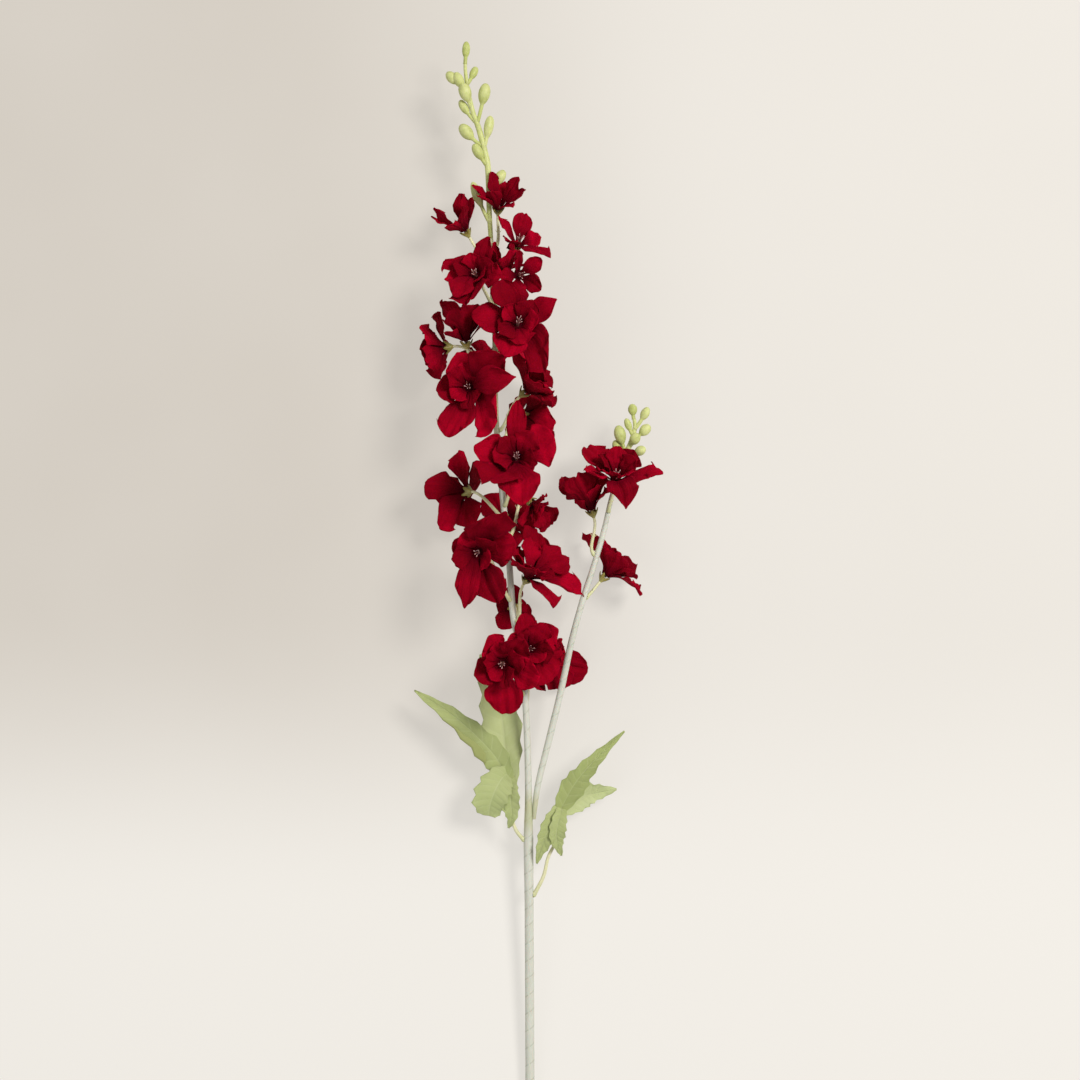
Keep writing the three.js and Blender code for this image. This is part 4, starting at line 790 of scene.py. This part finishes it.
def make_leaf(side, root, stalk, lobes, looks):
    way = [np.array(point, float) for point in stalk]
    seat, outward = seat_on(MAIN_STEM, root, way[0])
    points = np.vstack([seat - outward * SEAT_GAP, smooth_curve([seat, *way], 40)])
    taper = mix(LEAF_STALK["foot"], LEAF_STALK["head"], np.linspace(0, 1, 40))
    radii = np.concatenate([[SEAT["leaf"]], taper])
    radii[1:4] += (0.35, 0.2, 0.08)
    mesh = Mesh()
    mesh.tube(points, radii, 14)
    mesh.piece(f"{side}_leaf_stalk_fine", looks["stalk"], [f"{side}_leaf_stalk"])
    mesh = Mesh()
    for number, lobe in enumerate(lobes):
        add_lobe(mesh, lobe, number, LOBE_TONES[side][number], FLAP if (side, number) == FLAP_LOBE else 0)
    mesh.piece(f"{side}_leaf_cloth", looks["leaf"], [f"{side}_leaf_blade"])


def add_lobe(mesh, lobe, number, tone, flap):
    """A toothed, veined lobe, folded a little along its rib; a flap of its left edge may lie over it."""
    teeth = 2 * LOBE_STEPS
    rows, columns = teeth * 6 + 1, 25
    rib, left, right = lobe
    rib = smooth_curve(rib, rows)
    along = unit(np.gradient(rib, axis=0))
    across = unit(np.cross(AXIS_Z, along))
    lift = np.cross(along, across)
    place = np.linspace(0, 1, rows)[:, None]
    v = np.linspace(-1, 1, columns)[None, :]
    turned = 0 * v
    if flap:
        beyond = np.linspace(0.02, 1, 10)[None, :]
        v = np.hstack([v, 1 + 0 * beyond])
        ends = smooth(place, 0.28, 0.4) * smooth(1 - place, 0.12, 0.6)
        turned = np.hstack([turned, beyond]) * flap * ends
    edge = np.abs(v)
    knots = np.linspace(0, 1, LOBE_STEPS + 1)
    width = np.where(v > 0, np.interp(place, knots, left), np.interp(place, knots, right))
    tooth = 1 - np.abs(np.mod(place * teeth, 2) - 1)
    notched = 1 - LEAF["notch"] * (1 - tooth) * edge**5
    slant = LEAF["tooth_slant"] * width * tooth * edge**5
    fold = LEAF["fold"] * width * (np.sqrt(v * v + 0.012) - 0.1)
    vein_phase = np.mod(place * LOBE_STEPS * VEINS - edge * 0.9, 1)
    veins = -0.28 * bell((vein_phase - 0.5) / 0.13) * smooth(edge, 0.04, 0.2)
    rib_line = -0.5 * bell(v / 0.05)
    ripple = 0.9 * edge**2 * wave(2.3 * place + 0.31 * number + 0.2 * np.sign(v))
    raised = fold + (veins + rib_line) * smooth(1 - place, 0, 0.2) + ripple * smooth(place, 0, 0.2)
    raised = raised + 0.9 * smooth(turned, 0, 0.12)
    grid = (
        rib[:, None, :]
        + across[:, None, :] * ((v - turned) * width * notched)[..., None]
        + along[:, None, :] * slant[..., None]
        + lift[:, None, :] * raised[..., None]
    )
    mesh.grid(grid, np.stack(np.broadcast_arrays(place, v), -1), THIN, tone, under=UNDERSIDE)


# ---------- materials ----------


def rgb(red, green, blue):
    """A linear colour from the 0 to 255 values of a display."""
    linear = [((c / 255 + 0.055) / 1.055) ** 2.4 if c > 10 else c / 255 / 12.92 for c in (red, green, blue)]
    return (*linear, 1.0)


class Look:
    """One material. Its colour is built tint by tint and its relief bump by bump."""

    def __init__(self, name, colour):
        self.material = bpy.data.materials.new(name)
        self.material.use_nodes = True
        self.tree = self.material.node_tree
        self.shader = self.tree.nodes["Principled BSDF"]
        self.colour = rgb(*colour)
        self.relief = {}

    def add(self, kind, output=0, settings=None, **inputs):
        """Adds a node and gives back one of its outputs; inputs are values or other outputs."""
        node = self.tree.nodes.new(kind)
        for key, value in (settings or {}).items():
            setattr(node, key, value)
        for key, value in inputs.items():
            self.put(node, key.replace("_", " "), value)
        return node.outputs[output]

    def put(self, node, socket, value):
        """Sets an input of a node, by its name or number, to a value or another node's output."""
        socket = node.inputs[socket]
        if isinstance(value, bpy.types.NodeSocket):
            self.tree.links.new(value, socket)
        else:
            socket.default_value = value

    def math(self, operation, *values):
        node = self.tree.nodes.new("ShaderNodeMath")
        node.operation = operation
        for index, value in enumerate(values):
            self.put(node, index, value)
        return node.outputs[0]

    def times(self, one, other):
        return self.math("MULTIPLY", one, other)

    def remap(self, value, low, high, to_low, to_high, soft=False):
        settings = {"interpolation_type": "SMOOTHSTEP" if soft else "LINEAR"}
        return self.add("ShaderNodeMapRange", settings=settings, Value=value, From_Min=low, From_Max=high,
                        To_Min=to_low, To_Max=to_high)

    def split(self, vector):
        """The three parts of a vector."""
        node = self.tree.nodes.new("ShaderNodeSeparateXYZ")
        self.put(node, 0, vector)
        return list(node.outputs)

    def spot(self):
        """The point in the part's own frame, in metres."""
        return self.add("ShaderNodeTexCoord", 3)

    def place(self):
        """The place along and the place across, which every mesh carries."""
        return self.split(self.add("ShaderNodeUVMap", settings={"uv_map": "Place"}))[:2]

    def tone(self):
        return self.add("ShaderNodeAttribute", 2, {"attribute_name": "tone"})

    def noise(self, scale, detail=3, rough=0.5, stretch=(1, 1, 1)):
        """Noise in the part's own frame, with features of about 1/scale metres."""
        moved = self.add("ShaderNodeMapping", Vector=self.spot(), Scale=stretch)
        return self.add("ShaderNodeTexNoise", Vector=moved, Scale=scale, Detail=detail, Roughness=rough)

    def weave(self, threads):
        """Height of a plain weave in the cloth's own places."""
        warp, weft = (self.math("SINE", self.times(way, threads)) for way in self.place())
        return self.times(warp, weft)

    def tint(self, colour, part, *span):
        """Mixes a colour in, as much as part says. A span remaps part first."""
        if span:
            part = self.remap(part, *span)
        node = self.tree.nodes.new("ShaderNodeMix")
        node.data_type = "RGBA"
        for socket, value in ((0, part), (6, self.colour), (7, rgb(*colour))):
            self.put(node, socket, value)
        self.colour = node.outputs[2]
        return self.colour

    def bump(self, height, distance, strength=1):
        """Lays a relief over the ones before. Its distance is in metres."""
        inputs = {"Height": height, "Distance": distance, "Strength": strength, **self.relief}
        self.relief = {"Normal": self.add("ShaderNodeBump", **inputs)}

    def finish(self, **inputs):
        for key, value in {"Base_Color": self.colour, **self.relief, **inputs}.items():
            self.put(self.shader, key.replace("_", " "), value)
        return self.material


def petal_cloth():
    """Crimson cloth with a velvet bloom: painted shade darkens it in the throat; mottled, with fine fibres.
    """
    look = Look("petal_cloth", (112, 0, 17))
    along, across = look.place()
    tone = look.tone()
    look.tint((179, 0, 36), tone)
    look.tint((94, 0, 13), look.noise(90, 4), 0.3, 0.7, 0, 0.5)
    # Painted shade: each petal darkens towards its foot, down in the throat.
    look.tint((38, 0, 8), along, 0.02, 0.6, 0.92, 0)
    look.tint((84, 0, 12), look.noise(900, 2, 0.6, (1, 1, 0.25)), 0.35, 0.75, 0, 0.28)
    look.tint((96, 0, 14), look.math("ABSOLUTE", across), 0.93, 1, 0, 0.4)
    lines = look.math("SINE", look.math("MULTIPLY_ADD", across, 34, look.times(tone, 9)))
    look.bump(look.times(lines, look.remap(along, 0, 0.9, 1, 0.25)), 0.00011)
    look.bump(look.noise(420, 3, 0.6), 0.0006, 0.8)
    look.bump(look.weave(300), 0.00004, 0.6)
    look.bump(look.noise(2600, 2), 0.00008, 0.8)
    return look.finish(Roughness=0.85, Specular_IOR_Level=0.04,
                       Sheen_Weight=0.28, Sheen_Roughness=0.45, Sheen_Tint=rgb(235, 0, 60),
                       Subsurface_Weight=0.1, Subsurface_Radius=(1, 0.05, 0.06), Subsurface_Scale=0.0012)


def stem_tape():
    """Pale grey-green waxed tape in thin slanting laps, olive at the fork and among the upper blooms."""
    look = Look("stem_tape", (192, 193, 180))
    along, across = look.place()
    look.tint((210, 210, 198), look.noise(160, 3))
    lap = look.math("FRACT", look.math("MULTIPLY_ADD", along, 100 / TAPE_TURN, look.times(across, -1)))
    look.tint((150, 154, 130), lap, 0, 0.12, 0.6, 0)
    crepe = look.noise(1500, 3, 0.6, (1, 0.2, 1))
    look.tint((176, 180, 158), crepe, 0.4, 0.7, 0, 0.25)
    y = look.split(look.spot())[1]
    from_fork = look.math("ABSOLUTE", look.math("ADD", y, -FORK * MM))
    at_fork = look.remap(from_fork, 0.006, 0.018, 0.6, 0)
    look.tint((170, 171, 118), look.math("MAXIMUM", look.remap(y, 0.08, 0.14, 0, 0.75), at_fork))
    look.bump(crepe, 0.0002, 0.7)
    return look.finish(Roughness=look.remap(crepe, 0.3, 0.7, 0.45, 0.62), Specular_IOR_Level=0.4,
                       Subsurface_Weight=0.1, Subsurface_Scale=0.001)


def stalk_plastic():
    """Cream-green moulded plastic, a little translucent, greener at the seat."""
    look = Look("stalk_plastic", (206, 204, 158))
    along, _ = look.place()
    look.tint((220, 216, 178), look.noise(120, 2))
    look.tint((176, 184, 128), along, 0, 0.12, 0.5, 0)
    look.tint((164, 158, 96), look.noise(900, 3), 0.58, 0.72, 0, 0.35)
    look.bump(look.noise(700, 3), 0.00015, 0.6)
    return look.finish(Roughness=0.42, Specular_IOR_Level=0.45,
                       Subsurface_Weight=0.2, Subsurface_Radius=(0.9, 1, 0.5), Subsurface_Scale=0.0015)


def calyx_plastic():
    """Olive plastic with brown patches of painted shade scattered over it, yellower at the claws."""
    look = Look("calyx_plastic", (178, 170, 98))
    along, claw = look.place()
    look.tint((118, 106, 36), along, 0.2, 1, 0, 1)
    # Painted shade: brown patches scattered at random over the cup.
    look.tint((86, 62, 20), look.noise(420, 3), 0.35, 0.7, 0, 0.5)
    look.tint((160, 150, 64), claw, 0.7, 1, 0, 0.35)
    look.bump(look.noise(1100, 3), 0.0002, 0.6)
    return look.finish(Roughness=0.45, Subsurface_Weight=0.15, Subsurface_Scale=0.001)


def filament_plastic():
    """Pale pink filaments, redder towards the throat; the boss and the darkest filaments are brown."""
    look = Look("filament_plastic", (218, 176, 172))
    along, _ = look.place()
    look.tint((140, 40, 44), along, 0, 0.07, 1, 0)
    look.tint((92, 30, 24), look.tone(), 0.3, 0.2, 0, 1)
    look.tint((205, 160, 150), look.noise(1500, 2), 0.4, 0.7, 0, 0.3)
    look.bump(look.noise(3000, 2), 0.0001, 0.5)
    return look.finish(Roughness=0.5, Subsurface_Weight=0.1, Subsurface_Scale=0.0005)


def bud_plastic():
    """Dull yellow-green waxy plastic, paler at the tips of the buds."""
    look = Look("bud_plastic", (176, 183, 106))
    along, _ = look.place()
    look.tint((204, 207, 142), look.tone())
    look.tint((206, 208, 150), along, 0.07, 0.24, 0, 0.45)
    look.tint((148, 156, 74), look.noise(240, 4), 0.45, 0.75, 0, 0.5)
    look.bump(look.noise(800, 4), 0.0003, 0.6)
    return look.finish(Roughness=0.5, Specular_IOR_Level=0.3,
                       Subsurface_Weight=0.2, Subsurface_Radius=(0.8, 1, 0.35), Subsurface_Scale=0.002)


def leaf_cloth():
    """Sage cloth with pressed veins, its underside olive, a colour that is partly painted shade."""
    look = Look("leaf_cloth", (154, 163, 98))
    along, across = look.place()
    edge = look.math("ABSOLUTE", across)
    phase = look.math("MULTIPLY_ADD", along, LOBE_STEPS * VEINS, look.times(edge, -0.9))
    vein = look.math("ABSOLUTE", look.math("SUBTRACT", look.math("FRACT", phase), 0.5))
    vein = look.remap(vein, 0, 0.09, 0.55, 0)
    lines = look.math("MAXIMUM", vein, look.remap(edge, 0.015, 0.05, 0.8, 0))
    tone = look.tone()
    look.tint((194, 201, 150), tone)
    look.tint((166, 178, 114), look.noise(70, 4), 0.3, 0.7, 0, 0.4)
    look.tint((198, 205, 160), look.times(lines, 0.4))
    look.tint((150, 166, 100), edge, 0.9, 1, 0, 0.4)
    # The low side is olive: partly its own colour, partly painted shade, darkened to match a shaded fold.
    look.tint((148, 152, 92), tone, 0, UNDERSIDE, 0, 0.8)
    look.bump(look.weave(420), 0.00006, 0.7)
    look.bump(look.noise(1800, 3), 0.00012, 0.7)
    return look.finish(Roughness=0.72, Specular_IOR_Level=0.3, Sheen_Weight=0.1, Sheen_Roughness=0.5,
                       Subsurface_Weight=0.12, Subsurface_Radius=(0.8, 1, 0.4), Subsurface_Scale=0.001)


def floor_paint():
    """Plain pale paint, evenly lit from within so that shadows stay faint, with a soft painted shadow that
    makes it greyer up on the left.
    """
    look = Look("floor_paint", (242, 238, 231))
    x, y, _ = look.split(look.spot())
    # Painted shadow: the colour and the glow turn greyer towards the upper left, mottled a little.
    left = look.remap(x, -0.2, 0.16, 1, 0.3, soft=True)
    upper = look.remap(y, 0, -0.23, 1, 0, soft=True)
    shadow_mottle = look.remap(look.noise(5, 2), 0.3, 0.7, 0.88, 1)
    glow_and_painted_shadow = look.tint((213, 206, 196), look.times(look.times(left, upper), shadow_mottle))
    look.tint((0, 0, 0), 0.74)
    return look.finish(Roughness=0.9, Specular_IOR_Level=0.05, Emission_Color=glow_and_painted_shadow, Emission_Strength=0.69)


# ---------- stage ----------

CAMERA_HEIGHT = 1642
VIEW_MIDDLE = 45  # the height y that the camera stands over
HALF_VIEW = 388.8 / 1600  # half the picture's width against its distance, at the stem
FLOOR_HALF = 6.0  # in metres
WARM_WHITE = (1.0, 0.985, 0.965)
COOL_WHITE = (0.97, 0.985, 1.0)


def make_camera():
    data = bpy.data.cameras.new("camera")
    data.lens = data.sensor_width / 2 / HALF_VIEW
    data.clip_end = 20
    camera = add_object("camera", data)
    camera.location = (TO_MIDDLE * MM, VIEW_MIDDLE * MM, CAMERA_HEIGHT * MM)
    bpy.context.scene.camera = camera


def make_floor():
    mesh = bpy.data.meshes.new("floor")
    corners = [(x * FLOOR_HALF, y * FLOOR_HALF, 0) for x, y in ((-1, -1), (1, -1), (1, 1), (-1, 1))]
    mesh.from_pydata(corners, [], [(0, 1, 2, 3)])
    mesh.materials.append(floor_paint())
    floor = add_object("floor", mesh)
    floor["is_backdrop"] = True


def make_light(name, place, size, power, colour):
    """A round light, in metres and watts, aimed at the spray's middle."""
    data = bpy.data.lights.new(name, "AREA")
    data.shape = "DISK"
    data.size = size
    data.energy = power
    data.color = colour
    light = add_object(name, data)
    light.location = place
    light.rotation_euler = (Vector((0, 0, 0.05)) - Vector(place)).to_track_quat("-Z", "Y").to_euler()


def make_lights():
    make_light("key", (1.3, 0.9, 2.3), 0.9, 68, WARM_WHITE)
    make_light("fill", (-1.6, -0.8, 2.2), 2.2, 16, COOL_WHITE)
    world = bpy.data.worlds.new("soft_white")
    world.use_nodes = True
    background = world.node_tree.nodes["Background"]
    background.inputs["Color"].default_value = (*WARM_WHITE, 1)
    background.inputs["Strength"].default_value = 0.39
    bpy.context.scene.world = world
    bpy.context.scene.view_settings.view_transform = "Standard"


# ---------- the whole ----------

make_camera()
make_floor()
make_lights()

looks = {
    "petal": petal_cloth(),
    "stalk": stalk_plastic(),
    "calyx": calyx_plastic(),
    "filament": filament_plastic(),
    "tape": stem_tape(),
    "bud": bud_plastic(),
    "leaf": leaf_cloth(),
}

make_stem("main_stem", MAIN_STEM, looks["tape"])
make_stem("side_stem", SIDE_STEM, looks["tape"])
make_sprig("main_bud_sprig", MAIN_SPRIG, MAIN_BUDS, looks["bud"])
make_sprig("side_bud_sprig", SIDE_SPRIG, SIDE_BUDS, looks["bud"])
for side, leaf in LEAVES.items():
    make_leaf(side, *leaf, looks)
for number, bloom in enumerate(BLOOMS, start=1):
    make_petals(bloom, number, looks["petal"])
    make_stalk(bloom, number, looks)

boxes = {"cad": cad_box, "visual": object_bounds()}
{name: [list(corner) for corner in box] for name, box in boxes.items()}
